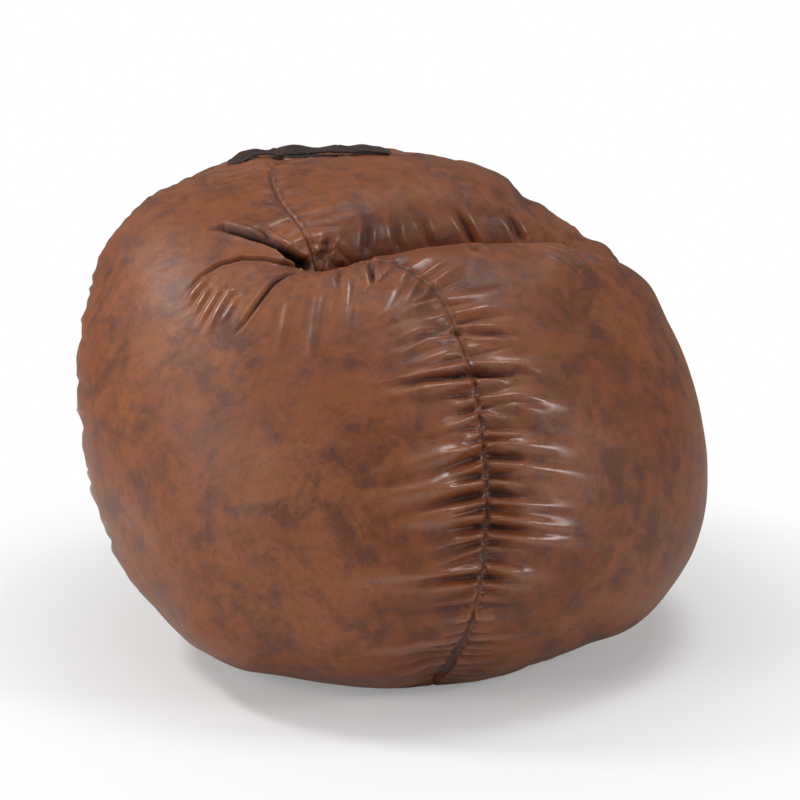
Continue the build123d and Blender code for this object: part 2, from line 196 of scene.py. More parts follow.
# Carry handle
HANDLE_SPAN = 0.250
HANDLE_WIDTH = 0.040
HANDLE_THICK = 0.003
HANDLE_TURN = -29.0
HANDLE_COLUMNS = 44
HANDLE_ROWS = 10
HANDLE_ABOVE = 1.0
HANDLE_MIDDLE = np.array((-0.049, 0.178))
HANDLE_STOPS = (0.00, 0.09, 0.17, 0.28, 0.40, 0.55, 0.68, 0.80, 0.92, 1.00)
HANDLE_NEAR_LIFT = (0.0010, 0.0012, 0.0060, 0.0070, 0.0050, 0.0060, 0.0050, 0.0050, 0.0035, 0.0015)
HANDLE_FAR_LIFT = (0.0020, 0.0120, 0.0110, 0.0110, 0.0140, 0.0080, 0.0120, 0.0095, 0.0055, 0.0015)

# Base halves, and the zip well in them
BASE_COLUMNS = 96
BASE_ROWS = 40
BASE_SEAM_GAP = 0.0004
BASE_ARC = 0.985
BASE_CROWDING = 1.6
BASE_LIFT = 0.0002
HALVES_GAP = 0.00015
RIM_SHARE = 0.9
ZIP_LENGTH = 0.250
WELL_HEIGHT = 0.007
WELL_WIDTH = 0.034
WELL_END = 0.014
WELL_SLOPE = 0.007
SLIT_HALF = 0.0066
SLIT_PAST_ZIP = 0.009
SLIT_TAPER = 0.002
COVER_THICK = 0.0014

# Inner bag and beads, inside the cover
LINER_INSET = 0.014
FILL_INSET = 0.026
SEAM_ROOM = 0.018
LINER_FLOOR = 0.0128
FILL_FLOOR = 0.0180

PANEL_NAMES = ("front_left", "front_right", "back_right", "back_left")
CAP_PANEL = 4
BASE_PANEL = 5
FRONT_PANELS = (0, 1)
REAR_PANELS = (2, 3)

# Studio
FLOOR_HALF = 30
FLOOR_DROP = -0.0005
FLOOR_PALE = (0.86, 0.86, 0.86, 1)
FLOOR_FADE_SCALE = 0.5
FLOOR_FADE = ((0.20, 0.25), (0.46, 1.0))
WORLD_LIGHT = 0.23
LAMPS = (
    ("left_lamp", (-2.7, -0.5, 1.2), (-0.1, -0.1, 0.3), 1.0, 32),
    ("back_lamp", (-1.7, 1.1, 2.4), (0, 0, 0.4), 0.5, 39),
    ("front_lamp", (1.8, -2.5, 1.4), (0, 0, 0.35), 0.7, 27),
    ("top_lamp", (0.7, -0.4, 3.0), (0, 0, 0.4), 0.9, 27),
)

# Colours of the cover, strap, thread, zip, lining and beads
COVER_LIGHT = (0.205, 0.059, 0.017, 1)
# COVER_DARK is the own dark brown of the cloudy patches, specks and veins, and is also the painted shade in
# fold hollows and along seams
COVER_DARK = (0.078, 0.029, 0.020, 1)
COVER_RUBBED = (0.290, 0.100, 0.034, 1)
# Painted shadow: near black mixed into the deepest folds
FOLD_SHADOW_BLACK = (0.008, 0.004, 0.003, 1)
# The strap's colours are near black: its own dark brown leather, darkened further as painted shade
STRAP_LIGHT = (0.030, 0.014, 0.010, 1)
STRAP_DARK = (0.010, 0.006, 0.005, 1)
STRAP_RUBBED = (0.060, 0.030, 0.022, 1)
THREAD_LIGHT = (0.10, 0.038, 0.018, 1)
THREAD_DARK = (0.035, 0.014, 0.008, 1)
TAPE_LIGHT = (0.030, 0.018, 0.013, 1)
TAPE_DARK = (0.010, 0.006, 0.005, 1)
LINER_LIGHT = (0.72, 0.71, 0.67, 1)
LINER_DARK = (0.42, 0.41, 0.38, 1)
SLIDER_METAL = (0.50, 0.44, 0.33, 1)
TEETH_BROWN = (0.055, 0.036, 0.027, 1)
BEAD_SHADE = (0.55, 0.55, 0.53, 1)
BEAD_WHITE = (0.86, 0.86, 0.84, 1)

# Leather's masks: stops as (value, strength), and how a fold's height or a seam's distance is scaled first
PATCH_STOPS = ((0.82, 0.0), (0.95, 0.45), (1.0, 0.70))
WARM_STOPS = ((0.38, 0.0), (0.66, 0.6))
SPECK_STOPS = ((0.58, 0.0), (0.75, 0.45))
VEIN_STOPS = ((0.48, 0.0), (0.68, 0.42))
RIDGE_GAIN = 90.0
RIDGE_STOPS = ((0.05, 0.0), (0.5, 0.5))
POLISH_STOPS = ((0.03, 0.0), (0.25, 1.0))
# Painted shade: where a fold sinks, the leather is mixed towards its dark brown
HOLLOW_SHADE_GAIN = -120.0
HOLLOW_SHADE_STOPS = ((0.1, 0.0), (0.6, 0.75))
# Painted shadow: the deepest folds turn near black
FOLD_SHADOW_GAIN = -75.0
FOLD_SHADOW_STOPS = ((0.5, 0.0), (1.0, 0.85))
# Painted shade: a thin dark line along each seam's groove
SEAM_SHADE_GAIN = 100.0
SEAM_SHADE_STOPS = ((0.05, 0.85), (0.13, 0.0))
GRAIN_STOPS = ((0.0, 0.0), (0.10, 1.0))
SMEAR_IN_PATCHES = 0.55
PATCH_SHIFT = 0.2

# Leather's sheen and relief
HIDE_ROUGHNESS = 0.39
PATCH_ROUGHNESS = -0.06
SPECK_ROUGHNESS = 0.10
WORN_ROUGHNESS = 0.16
WORN_GLOSS = 0.6
COAT_ROUGHNESS = 0.26
HIDE_SPECULAR = 0.32
SMEAR_GRAIN = 1.2
SPECK_GRAIN = 0.8
GATHER_STRETCH = 0.12
GATHER_GAIN = 6.0
SEAM_DIP = -0.5
CRINKLE_BUMP = (0.6, 0.0030)
GRAIN_BUMP = (0.35, 0.0004)

# Cloth, zip and beads
WEAVE_ROUGHNESS = 0.85
WEAVE_BUMP = (0.5, 0.0003)
SCUFF_DULL = 0.62
SCUFF_STOPS = ((0.35, 0.0), (0.65, 1.0))
SCUFF_ROUGHNESS = 0.25
SCUFF_START = 0.12
SCUFF_BUMP = (0.2, 0.0001)
BEAD_ROUGHNESS = 0.7
BEAD_STOPS = ((0.1, 1.0), (0.75, 0.35))
BEAD_BUMP = (0.8, 0.002)
FLOOR_ROUGHNESS = 0.9


def unit(vector):
    """The same heading, one metre long."""
    return np.asarray(vector) / np.linalg.norm(vector)


BASE_POINT = np.array((*BASE_MIDDLE, 0.0))
CAP_POINT = np.array((*CAP_MIDDLE, CAP_TOP))
SEAM_AXIS = unit(CAP_POINT - BASE_POINT)
SEAM_BACK = unit(np.cross(SEAM_AXIS, (cos(radians(SEAM_TURN)), sin(radians(SEAM_TURN)), 0)))
SEAM_RIGHT = np.cross(SEAM_BACK, SEAM_AXIS)
BAG_HEART = BASE_POINT + SEAM_AXIS * BAG_HEART_HEIGHT / SEAM_AXIS[2]
SEAT_DOWN = np.array((0, sin(radians(CREASE_TILT)), -cos(radians(CREASE_TILT))))
SEAT_ACROSS = np.array((0, cos(radians(CREASE_TILT)), sin(radians(CREASE_TILT))))
CAMERA_BACK = np.array(
    (
        sin(radians(CAMERA_TURN)) * cos(radians(CAMERA_RISE)),
        -cos(radians(CAMERA_TURN)) * cos(radians(CAMERA_RISE)),
        sin(radians(CAMERA_RISE)),
    )
)
CAMERA_RIGHT = unit(np.cross((0, 0, 1), CAMERA_BACK))
CAMERA_UP = np.cross(CAMERA_BACK, CAMERA_RIGHT)
CAMERA_PLACE = CAMERA_AIM + CAMERA_BACK * CAMERA_AWAY

# Folds and broad forms seen in the photograph, as paths of pixels. A fold's path starts at its deep end.
FAN_UPPER = ((309, 266), (298, 259), (280, 245), (259, 237), (239, 231), (223, 226), (206, 229))
FAN_UPPER_BRANCH = ((290, 251), (281, 243), (264, 231), (246, 223))
FAN_MIDDLE = ((305, 268), (288, 264), (266, 259), (243, 258), (221, 264), (202, 276), (188, 293))
FAN_LOWER = ((300, 270), (285, 274), (272, 284), (256, 306), (243, 325), (232, 337))
STREAK_1 = ((221, 290), (208, 311), (195, 333))
STREAK_2 = ((232, 289), (217, 314), (203, 338))
STREAK_3 = ((236, 300), (226, 315), (216, 328))
STREAK_4 = ((208, 292), (200, 305), (192, 318))
STREAK_5 = ((206, 281), (195, 293), (184, 308))
LIP_PLEAT = ((370, 260), (372, 272), (373, 286))
LIP_PLEAT_LEFT = ((342, 266), (340, 277), (339, 290))
LIP_GATHER_1 = ((288, 300), (284, 326), (279, 352))
LIP_GATHER_2 = ((318, 296), (314, 330), (308, 366))
LIP_GATHER_3 = ((329, 302), (326, 318), (322, 332))
LIP_GATHER_4 = ((349, 282), (346, 314), (340, 356))
LIP_GATHER_5 = ((356, 306), (353, 328), (350, 348))
LIP_GATHER_6 = ((298, 288), (293, 304), (286, 318))
BACK_GATHER_1 = ((320, 262), (326, 248), (332, 230))
BACK_GATHER_2 = ((366, 250), (367, 232), (368, 212))
BACK_GATHER_3 = ((398, 248), (396, 230), (393, 212))
BACK_GATHER_4 = ((476, 248), (465, 225), (450, 200))
BACK_GATHER_5 = ((430, 248), (424, 226), (416, 205))
BACK_GATHER_6 = ((520, 240), (512, 222), (500, 206))
SHOULDER_1 = ((540, 250), (563, 260), (584, 276), (598, 288))
SHOULDER_2 = ((552, 247), (578, 259), (596, 273), (615, 288))
SHOULDER_3 = ((526, 250), (544, 257), (572, 276), (586, 288))
SHOULDER_4 = ((566, 244), (587, 256), (609, 271), (626, 288))
SHOULDER_5 = ((578, 247), (600, 259), (622, 278))
SEAM_FOLD_1_LEFT = ((457, 332), (425, 334), (390, 351))
SEAM_FOLD_1_RIGHT = ((457, 332), (495, 332), (523, 337))
SEAM_FOLD_2_LEFT = ((468, 373), (425, 378), (383, 390))
SEAM_FOLD_2_RIGHT = ((470, 373), (485, 374), (516, 371), (543, 377))
SEAM_FOLD_3_RIGHT = ((480, 401), (516, 401), (551, 406))
RIGHT_NOTCH = ((530, 190), (553, 207), (574, 222), (588, 236))
RIGHT_SHOULDER = ((560, 264), (600, 274), (640, 300))
LEFT_SHOULDER = ((152, 214), (122, 246))
LEFT_FOOT = ((112, 530), (152, 592))
FRONT_FOOT = ((440, 672), (560, 650), (592, 640))
LEFT_BASE = ((206, 638), (248, 662))
# Each fold: path, width, depth, and its shoulder as a share of the depth. A negative depth is a ridge.
FOLDS = (
    (FAN_UPPER, 0.0056, 0.036, 0.12),
    (FAN_UPPER_BRANCH, 0.0038, 0.010, 0.20),
    (FAN_MIDDLE, 0.0034, 0.010, 0.25),
    (FAN_LOWER, 0.0029, 0.008, 0.25),
    (STREAK_1, 0.0052, -0.0036, 0.25),
    (STREAK_2, 0.0056, -0.0042, 0.25),
    (STREAK_3, 0.0046, -0.0024, 0.25),
    (STREAK_4, 0.0048, -0.0028, 0.25),
    (STREAK_5, 0.0056, -0.0034, 0.25),
    (LIP_PLEAT, 0.0045, 0.011, 0.25),
    (LIP_PLEAT_LEFT, 0.0045, 0.005, 0.2),
    (LIP_GATHER_1, 0.0056, -0.0018, 0.2),
    (LIP_GATHER_2, 0.0062, -0.0022, 0.2),
    (LIP_GATHER_3, 0.0046, -0.0012, 0.2),
    (LIP_GATHER_4, 0.0060, -0.0020, 0.2),
    (LIP_GATHER_5, 0.0046, -0.0013, 0.2),
    (LIP_GATHER_6, 0.0048, -0.0014, 0.2),
    (BACK_GATHER_1, 0.0065, 0.0070, 0.3),
    (BACK_GATHER_2, 0.0065, 0.0042, 0.4),
    (BACK_GATHER_3, 0.0065, 0.0034, 0.4),
    (BACK_GATHER_4, 0.0070, 0.0065, 0.4),
    (BACK_GATHER_5, 0.0065, 0.0030, 0.4),
    (BACK_GATHER_6, 0.0070, 0.0060, 0.4),
    (SHOULDER_1, 0.0036, 0.0042, 0.4),
    (SHOULDER_2, 0.0036, 0.0042, 0.4),
    (SHOULDER_3, 0.0036, 0.0034, 0.4),
    (SHOULDER_4, 0.0036, 0.0042, 0.4),
    (SHOULDER_5, 0.0036, 0.0034, 0.4),
    (SEAM_FOLD_1_LEFT, 0.0052, 0.0060, 0.3),
    (SEAM_FOLD_1_RIGHT, 0.0052, 0.0070, 0.3),
    (SEAM_FOLD_2_LEFT, 0.0054, 0.0070, 0.3),
    (SEAM_FOLD_2_RIGHT, 0.0054, 0.0080, 0.3),
    (SEAM_FOLD_3_RIGHT, 0.0048, 0.0060, 0.3),
)

# Each broad form of the outline: path, width and depth. A negative depth stands out.
FORMS = (
    (RIGHT_NOTCH, 0.028, 0.032),
    (RIGHT_SHOULDER, 0.042, -0.012),
    (LEFT_SHOULDER, 0.050, -0.012),
    (LEFT_FOOT, 0.050, 0.013),
    (FRONT_FOOT, 0.045, 0.014),
    (LEFT_BASE, 0.040, -0.010),
)
# How much further a form reaches along the line of sight than across it
FORM_STRETCH = 4.0
FORM_SPOT_STEP = 6


def lean(z):
    """How far the level at height z sits behind the widest level."""
    rise = z - WIDEST_HEIGHT
    bend = (rise + np.hypot(rise, LEAN_BLEND) - LEAN_BLEND) / 2
    return BOTTOM_LEAN * rise + (TOP_LEAN - BOTTOM_LEAN) * bend


def fullness(points):
    """Below 1 inside the smooth bag and above 1 outside it."""
    rise = points[..., 2] - WIDEST_HEIGHT
    middle = CENTRE_SHIFT + lean(points[..., 2])
    away = np.hypot(points[..., 0] / BAG_HALF_WIDTH, (points[..., 1] - middle) / BAG_HALF_DEPTH)
    power = np.where(rise > 0, TOP_FULLNESS, BOTTOM_FULLNESS)
    span = np.where(rise > 0, BAG_HEIGHT - WIDEST_HEIGHT, WIDEST_HEIGHT + FLOOR_SAG)
    return (away**power + (np.abs(rise) / span) ** power) ** (1 / power)


def skin(heading):
    """Where rays from the bag's heart meet the smooth bag or the floor."""
    near = np.zeros(heading.shape[:-1])
    far = np.full_like(near, BAG_REACH)
    for _ in range(BISECTIONS):
        middle = (near + far) / 2
        points = BAG_HEART + heading * middle[..., None]
        outside = (fullness(points) > 1) | (points[..., 2] < 0)
        far = np.where(outside, middle, far)
        near = np.where(outside, near, middle)
    return BAG_HEART + heading * near[..., None]


def heading(turn, down):
    """A heading from the bag's heart: turned about the seam axis, and down from the cap."""
    level = np.cos(turn)[..., None] * SEAM_RIGHT + np.sin(turn)[..., None] * SEAM_BACK
    return np.cos(down)[..., None] * SEAM_AXIS + np.sin(down)[..., None] * level


def ring_down(turn, middle, radius, low, high, growing):
    """How far down from the cap the skin crosses an upright cylinder."""
    low = np.full_like(turn, low)
    high = np.full_like(turn, high)
    for _ in range(BISECTIONS):
        down = (low + high) / 2
        away = np.linalg.norm(skin(heading(turn, down))[..., :2] - middle, axis=-1)
        beyond = (away > radius) == growing
        high = np.where(beyond, down, high)
        low = np.where(beyond, low, down)
    return (low + high) / 2


def seam_turn(seam, down):
    """Turn of one side seam, counted from the right, at an angle down from the cap."""
    turn = np.full_like(down, 90.0 * seam)
    if seam % 4 == 2:
        turn = turn + SWING_LEFT
    if seam % 4 == 3:
        turn = turn + np.interp(np.degrees(down), SWING_DOWN, SWING_FRONT)
    return np.radians(turn)


def toward_seams(share):
    """A share across a panel, with places crowded towards its two seams."""
    return (1 - SEAM_CROWDING) * share + SEAM_CROWDING * (1 - np.cos(pi * share)) / 2


def side_turn(panel, across, down):
    """Turn of a place on a side panel, a share of the way across it."""
    start, end = seam_turn(panel + 2, down), seam_turn(panel + 3, down)
    return start + (end - start) * toward_seams(across)


def side_places(panel, across, up):
    """Places on the smooth bag for a side panel, by shares across and up it."""
    guess = np.radians(BOTTOM_GUESS) + up * np.radians(TOP_GUESS - BOTTOM_GUESS)
    for _ in range(END_TRIES):
        turn = side_turn(panel, across, guess)
        top = ring_down(turn, CAP_MIDDLE, CAP_RADIUS, *CAP_SEARCH, True)
        bottom = ring_down(turn, BASE_MIDDLE, BASE_RADIUS, *BASE_SEARCH, False)
        guess = bottom + (top - bottom) * up
    return skin(heading(turn, guess))


def disc_places(across, up, top):
    """Places on the round cap or base: squares of a grid drawn out to rings."""
    a, b = 2 * across - 1, 2 * up - 1
    out = np.maximum(np.abs(a), np.abs(b))
    safe = np.where(out > 0, out, 1)
    places = np.empty((len(a), 3))
    sides = ((b <= -out, a), (a >= out, b), (b >= out, -a), (a <= -out, -b))
    middle = CAP_POINT if top else BASE_POINT
    for panel, (here, along) in enumerate(sides):
        share = (along[here] / safe[here] + 1) / 2
        ring = side_places(panel, share, np.full_like(share, 1.0 if top else 0.0))
        places[here] = middle + (ring - middle) * out[here][:, None]
    if top:
        places = skin(unit_rows(places - BAG_HEART))
    return places


def unit_rows(rows):
    """Each row one metre long."""
    return rows / np.linalg.norm(rows, axis=-1, keepdims=True)


def push_seat(places):
    """Press the crease between the front lobe and the back lobe into the bag."""
    away = places - CREASE_MOUTH
    run = away[:, 0]
    side = away @ SEAT_ACROSS - np.interp(run, CREASE_RUN, CREASE_BEND)
    below = away @ SEAT_DOWN
    depth = np.interp(run, CREASE_RUN, CREASE_DEPTH)
    width = np.interp(run, CREASE_RUN, LOBE_WIDTH)
    share = np.clip(np.abs(side) / width, 0, 1) * pi / 2
    near_top = np.clip((SEAT_REACH - below) / SEAT_REACH * SEAT_FADE, 0, 1)
    strength = depth / max(CREASE_DEPTH) * near_top
    drawn = np.sign(side) * width * (1 - np.cos(share))
    slide = np.where(np.abs(side) < width, drawn - side, 0) * strength
    drop = depth * (1 - np.sin(share)) * near_top
    closeness = np.where(np.abs(side) < width, 1 - np.abs(side) / width, 0) * strength
    return places + slide[:, None] * SEAT_ACROSS + drop[:, None] * SEAT_DOWN, closeness


def coordinates(mesh):
    """The mesh's points as rows."""
    flat = np.empty(len(mesh.vertices) * 3)
    mesh.vertices.foreach_get("co", flat)
    return flat.reshape(-1, 3)


def set_coordinates(mesh, places):
    """Move the mesh's points."""
    mesh.vertices.foreach_set("co", np.ascontiguousarray(places).ravel())
    mesh.update()


def normals(mesh):
    """The mesh's outward headings at its points, as rows."""
    flat = np.empty(len(mesh.vertices) * 3, np.float32)
    mesh.vertex_normals.foreach_get("vector", flat)
    return flat.reshape(-1, 3).astype(float)


def piece(name, bm):
    """A new object from a finished bmesh."""
    mesh = bpy.data.meshes.new(name)
    bm.to_mesh(mesh)
    bm.free()
    made = bpy.data.objects.new(name, mesh)
    bpy.context.scene.collection.objects.link(made)
    return made


def smooth_shaded(made):
    """Shade a piece as one smooth surface."""
    made.data.shade_smooth()
    return made


def grid_panel(bm, columns, rows, panel, place):
    """A grid of cells put where place says, by shares across and up."""
    points = bmesh.ops.create_grid(bm, x_segments=columns, y_segments=rows, size=1)["verts"]
    flat = np.array([point.co for point in points])
    for point, spot in zip(points, place((flat[:, 0] + 1) / 2, (flat[:, 1] + 1) / 2)):
        point.co = spot
    cells = list({cell for point in points for cell in point.link_faces})
    for cell in cells:
        cell.material_index = panel
    return cells


def sewn_bag():
    """The whole cover as one closed mesh, with each panel's number on its cells."""
    bm = bmesh.new()
    for panel in range(len(PANEL_NAMES)):
        grid_panel(bm, PANEL_COLUMNS, PANEL_ROWS, panel, lambda a, b: side_places(panel, a, b))
    grid_panel(bm, PANEL_COLUMNS, PANEL_COLUMNS, CAP_PANEL, lambda a, b: disc_places(a, b, True))
    base = grid_panel(bm, PANEL_COLUMNS, PANEL_COLUMNS, BASE_PANEL, lambda a, b: disc_places(a, b, False))
    bmesh.ops.reverse_faces(bm, faces=base)
    bmesh.ops.remove_doubles(bm, verts=bm.verts[:], dist=SEWN_WITHIN)
    bag = piece("sewn_bag", bm)
    for name in (*PANEL_NAMES, "cap", "base"):
        bag.data.materials.append(bpy.data.materials.new(f"panel_{name}"))
    places, closeness = push_seat(coordinates(bag.data))
    set_coordinates(bag.data, places)
    return bag, closeness


def seam_points(mesh):
    """The numbers of the points on each seam, by the pair of panels that it joins."""
    bm = bmesh.new()
    bm.from_mesh(mesh)
    found = {}
    for edge in bm.edges:
        pair = {face.material_index for face in edge.link_faces}
        if len(pair) == 2:
            for point in edge.verts:
                found.setdefault(tuple(sorted(pair)), set()).add(point.index)
    bm.free()
    return {pair: np.array(sorted(points)) for pair, points in found.items()}


def press_fill(bag, closeness):
    """Blow the cover up from inside so that it swells between its seams and puckers along them."""
    mesh = bag.data
    rest = coordinates(mesh)
    held = bag.vertex_groups.new(name="held")
    drawn = bag.vertex_groups.new(name="drawn_in")
    cap_away = np.linalg.norm(rest[:, :2] - CAP_MIDDLE, axis=1)
    on_cap = np.clip((CAP_RADIUS - cap_away) / CAP_HOLD_WIDTH, 0, 1) * (rest[:, 2] > WIDEST_HEIGHT)
    on_floor = (rest[:, 2] < FLOOR_HOLD_HEIGHT) * 1.0
    hold = np.maximum.reduce((np.clip(closeness * CREASE_HOLD, 0, 1), on_floor, on_cap * CAP_HOLD))
    for number in np.nonzero(hold > LEAST_HOLD)[0]:
        held.add([int(number)], float(hold[number]), "REPLACE")
    for points in seam_points(mesh).values():
        drawn.add([int(number) for number in points], 1.0, "REPLACE")
    cloth = bag.modifiers.new("fill", "CLOTH")
    for setting, value in CLOTH_FEEL.items():
        setattr(cloth.settings, setting, value)
    cloth.settings.use_pressure = True
    cloth.settings.uniform_pressure_force = PRESS_FORCE
    cloth.settings.effector_weights.gravity = 0
    cloth.settings.vertex_group_mass = "held"
    cloth.settings.vertex_group_shrink = "drawn_in"
    cloth.settings.shrink_min = PANEL_EASE
    cloth.settings.shrink_max = SEAM_DRAW
    cloth.collision_settings.use_collision = False
    cloth.point_cache.frame_end = PRESS_FRAMES
    for number in range(1, PRESS_FRAMES + 1):
        bpy.context.scene.frame_set(number)
    blown = bag.evaluated_get(bpy.context.evaluated_depsgraph_get())
    moved = coordinates(blown.data) - rest
    bag.modifiers.remove(cloth)
    bpy.context.scene.frame_set(1)
    length = np.linalg.norm(moved, axis=1, keepdims=True)
    moved = moved * np.tanh(length / PRESS_CAP) * PRESS_CAP / np.maximum(length, 1e-9)
    settled = rest + moved
    settled[:, 2] = np.maximum(settled[:, 2], 0)
    set_coordinates(mesh, settled)


def finer(bag, times):
    """Divide and smooth the sewn bag."""
    divide = bag.modifiers.new("divide", "SUBSURF")
    divide.levels = times
    divide.render_levels = times
    shown = bag.evaluated_get(bpy.context.evaluated_depsgraph_get())
    mesh = bpy.data.meshes.new_from_object(shown)
    bag.modifiers.remove(divide)
    bag.vertex_groups.clear()
    bag.data = mesh


def point_tree(spots):
    """Points, ready to be looked up."""
    tree = KDTree(len(spots))
    for number, spot in enumerate(spots):
        tree.insert(spot, number)
    tree.balance()
    return tree


def finer_at_folds(bag, tree):
    """Divide the cells under the photographed folds and beside the front seam once more."""
    folds = point_tree(np.concatenate([on_bag(tree, fold[0]) for fold in FOLDS]))
    seam = point_tree(seam_lines(bag.data)[FRONT_SEAM][0])
    bm = bmesh.new()
    bm.from_mesh(bag.data)
    sides = set()
    for cell in bm.faces:
        middle = cell.calc_center_median()
        if folds.find(middle)[2] < FINE_BY_FOLD or seam.find(middle)[2] < FINE_BY_SEAM:
            sides.update(cell.edges)
    bmesh.ops.subdivide_edges(bm, edges=list(sides), cuts=1, use_grid_fill=True)
    bm.to_mesh(bag.data)
    bm.free()


def surface_tree(mesh):
    """The mesh's surface, ready to be looked up."""
    corners = [tuple(place) for place in coordinates(mesh)]
    return BVHTree.FromPolygons(corners, [tuple(face.vertices) for face in mesh.polygons])


def photo_ray(pixel):
    """The heading from the camera through a pixel of the photograph."""
    right = (pixel[0] - AIM_PIXEL[0]) / FOCAL_PIXELS
    up = (AIM_PIXEL[1] - pixel[1]) / FOCAL_PIXELS
    return unit(CAMERA_RIGHT * right + CAMERA_UP * up - CAMERA_BACK)


def on_bag(tree, path):
    """Points on the bag under a pixel path, about a pixel apart."""
    spots = []
    for start, end in zip(path, path[1:]):
        steps = max(2, int(np.hypot(end[0] - start[0], end[1] - start[1])))
        for share in np.linspace(0, 1, steps, endpoint=False):
            pixel = np.array(start) + (np.array(end) - start) * share
            hit = tree.ray_cast(Vector(CAMERA_PLACE), Vector(photo_ray(pixel)))[0]
            if hit is not None:
                spots.append(np.array(hit))
    return np.array(spots)


def form_heights(places, tree):
    """How far the broad photographed forms move each point out of the surface."""
    heights = np.zeros(len(places))
    for path, width, depth in FORMS:
        away = np.full(len(places), np.inf)
        for spot in on_bag(tree, path)[::FORM_SPOT_STEP]:
            sight = unit(spot - CAMERA_PLACE)
            offset = places - spot
            beyond = offset @ sight
            across = np.linalg.norm(offset - beyond[:, None] * sight, axis=1)
            away = np.minimum(away, np.hypot(across, beyond / FORM_STRETCH))
        heights -= depth * np.exp(-((away / width) ** 2))
    return heights


def fold_heights(places, tree):
    """How far the photographed folds move each point out of the surface."""
    heights = np.zeros(len(places))
    for path, width, depth, shoulder in FOLDS:
        spots = on_bag(tree, path)
        low, high = spots.min(0) - FOLD_REACH * width, spots.max(0) + FOLD_REACH * width
        near = np.nonzero(np.all((places > low) & (places < high), axis=1))[0]
        away = np.linalg.norm(places[near, None] - spots[None], axis=2)
        nearest = away.argmin(1)
        away = away.min(1)
        along = nearest / (len(spots) - 1)
        ends = np.clip((1 - along) * TAIL_FADE, 0, 1) * np.clip(along * HEAD_FADE + HEAD_START, 0, 1)
        valley = np.exp(-((away / width) ** (VALLEY_POWER if depth > 0 else ROUND_POWER)))
        ridge = np.exp(-(((away - SHOULDER_AWAY * width) / width) ** 2))
        heights[near] += depth * ends * (shoulder * ridge - valley)
    return heights


def seam_lines(mesh):
    """Each seam as points in order along it: pair of panels, places and lengths along."""
    places = coordinates(mesh)
    lines = {}
    for pair, points in seam_points(mesh).items():
        away = places[points] - BAG_HEART
        down = np.arccos(np.clip(unit_rows(away) @ SEAM_AXIS, -1, 1))
        turn = np.arctan2(away @ SEAM_BACK, away @ SEAM_RIGHT)
        turn = np.where(turn < RING_START, turn + 2 * pi, turn)
        order = np.argsort(turn if max(pair) >= CAP_PANEL else down)
        line = places[points[order]]
        steps = np.linalg.norm(np.diff(line, axis=0), axis=1)
        lines[pair] = (line, np.concatenate(((0,), np.cumsum(steps))))
    return lines


def seam_distances(places, lines):
    """For each point: distance to the nearest seam, which seam, and how far along it."""
    pairs = sorted(lines)
    spots = np.concatenate([lines[pair][0] for pair in pairs])
    along = np.concatenate([lines[pair][1] for pair in pairs])
    runs = np.concatenate([unit_rows(np.gradient(lines[pair][0], axis=0)) for pair in pairs])
    owner = np.repeat(np.arange(len(pairs)), [len(lines[pair][0]) for pair in pairs])
    tree = point_tree(spots)
    nearest = np.array([tree.find(spot)[1] for spot in places])
    offset = places - spots[nearest]
    past = np.sum(offset * runs[nearest], axis=1)
    away = np.linalg.norm(offset - past[:, None] * runs[nearest], axis=1)
    return away, owner[nearest], along[nearest] + past, pairs


def point_panels(mesh):
    """A panel that each point belongs to."""
    panels = np.zeros(len(mesh.vertices), np.int32)
    for face in mesh.polygons:
        panels[list(face.vertices)] = face.material_index
    return panels


def pull(level):
    """How strongly a seam puckers at a height."""
    return LEAST_PULL + (1 - LEAST_PULL) * np.exp(-(((level - PUCKER_MIDDLE) / PUCKER_SPREAD) ** 2))


def pucker_heights(panels, away, owner, along, pairs, lines):
    """Ridges and sharper hollows in turn that cross each seam and die away from it."""
    heights = np.zeros(len(away))
    shuffle = random.Random(PUCKER_SEED)
    for number, pair in enumerate(pairs):
        line, lengths = lines[pair]
        ring = max(pair) >= CAP_PANEL
        mine = np.nonzero((owner == number) & (away < PUCKER_LIMIT * PUCKER_REACH))[0]
        right = panels[mine] == pair[1]
        spread = 1 + away[mine] / PUCKER_FAN
        place, way = 0.0, 1
        while place < lengths[-1]:
            place += PUCKER_PITCH * shuffle.uniform(*PITCH_RANGE)
            way = -way
            strength = RING_PULL if ring else pull(np.interp(place, lengths, line[:, 2]))
            height = way * PUCKER_HEIGHT * shuffle.uniform(*HEIGHT_RANGE) * strength
            width = PUCKER_WIDTH * shuffle.uniform(*WIDTH_RANGE) * (RIDGE_WIDTH if way > 0 else HOLLOW_WIDTH)
            reaches = (shuffle.uniform(*RIGHT_REACH), shuffle.uniform(*LEFT_REACH))
            slants = (shuffle.uniform(*RIGHT_SLANT), shuffle.uniform(*LEFT_SLANT))
            reach = np.where(right, *reaches) * PUCKER_REACH
            slant = np.where(right, *slants)
            if ring:
                reach, slant = reach * RING_REACH, 0
            offset = (along[mine] - place - slant * away[mine]) / (width * spread)
            crest = np.abs(offset) ** (RIDGE_POWER if way > 0 else VALLEY_POWER)
            heights[mine] += height * np.exp(-crest - (away[mine] / reach) ** 2)
    return heights * (1 - SEAM_TAUT * np.exp(-((away / SEAM_TAUT_WIDTH) ** 2)))


def slack_heights(places):
    """Shallow dents of a loose fill, broad and small."""
    heights = np.empty(len(places))
    for number, spot in enumerate(places):
        broad = noise.noise(Vector(spot) * BROAD_DENT_SCALE)
        small = noise.noise(Vector(spot) * SMALL_DENT_SCALE + Vector(SMALL_DENT_SHIFT))
        heights[number] = BROAD_DENT * broad + SMALL_DENT * small
    return heights


def keep_values(mesh, name, values):
    """Store one value for each point, for the materials."""
    made = mesh.attributes.new(name, "FLOAT", "POINT")
    made.data.foreach_set("value", values.astype(np.float32))


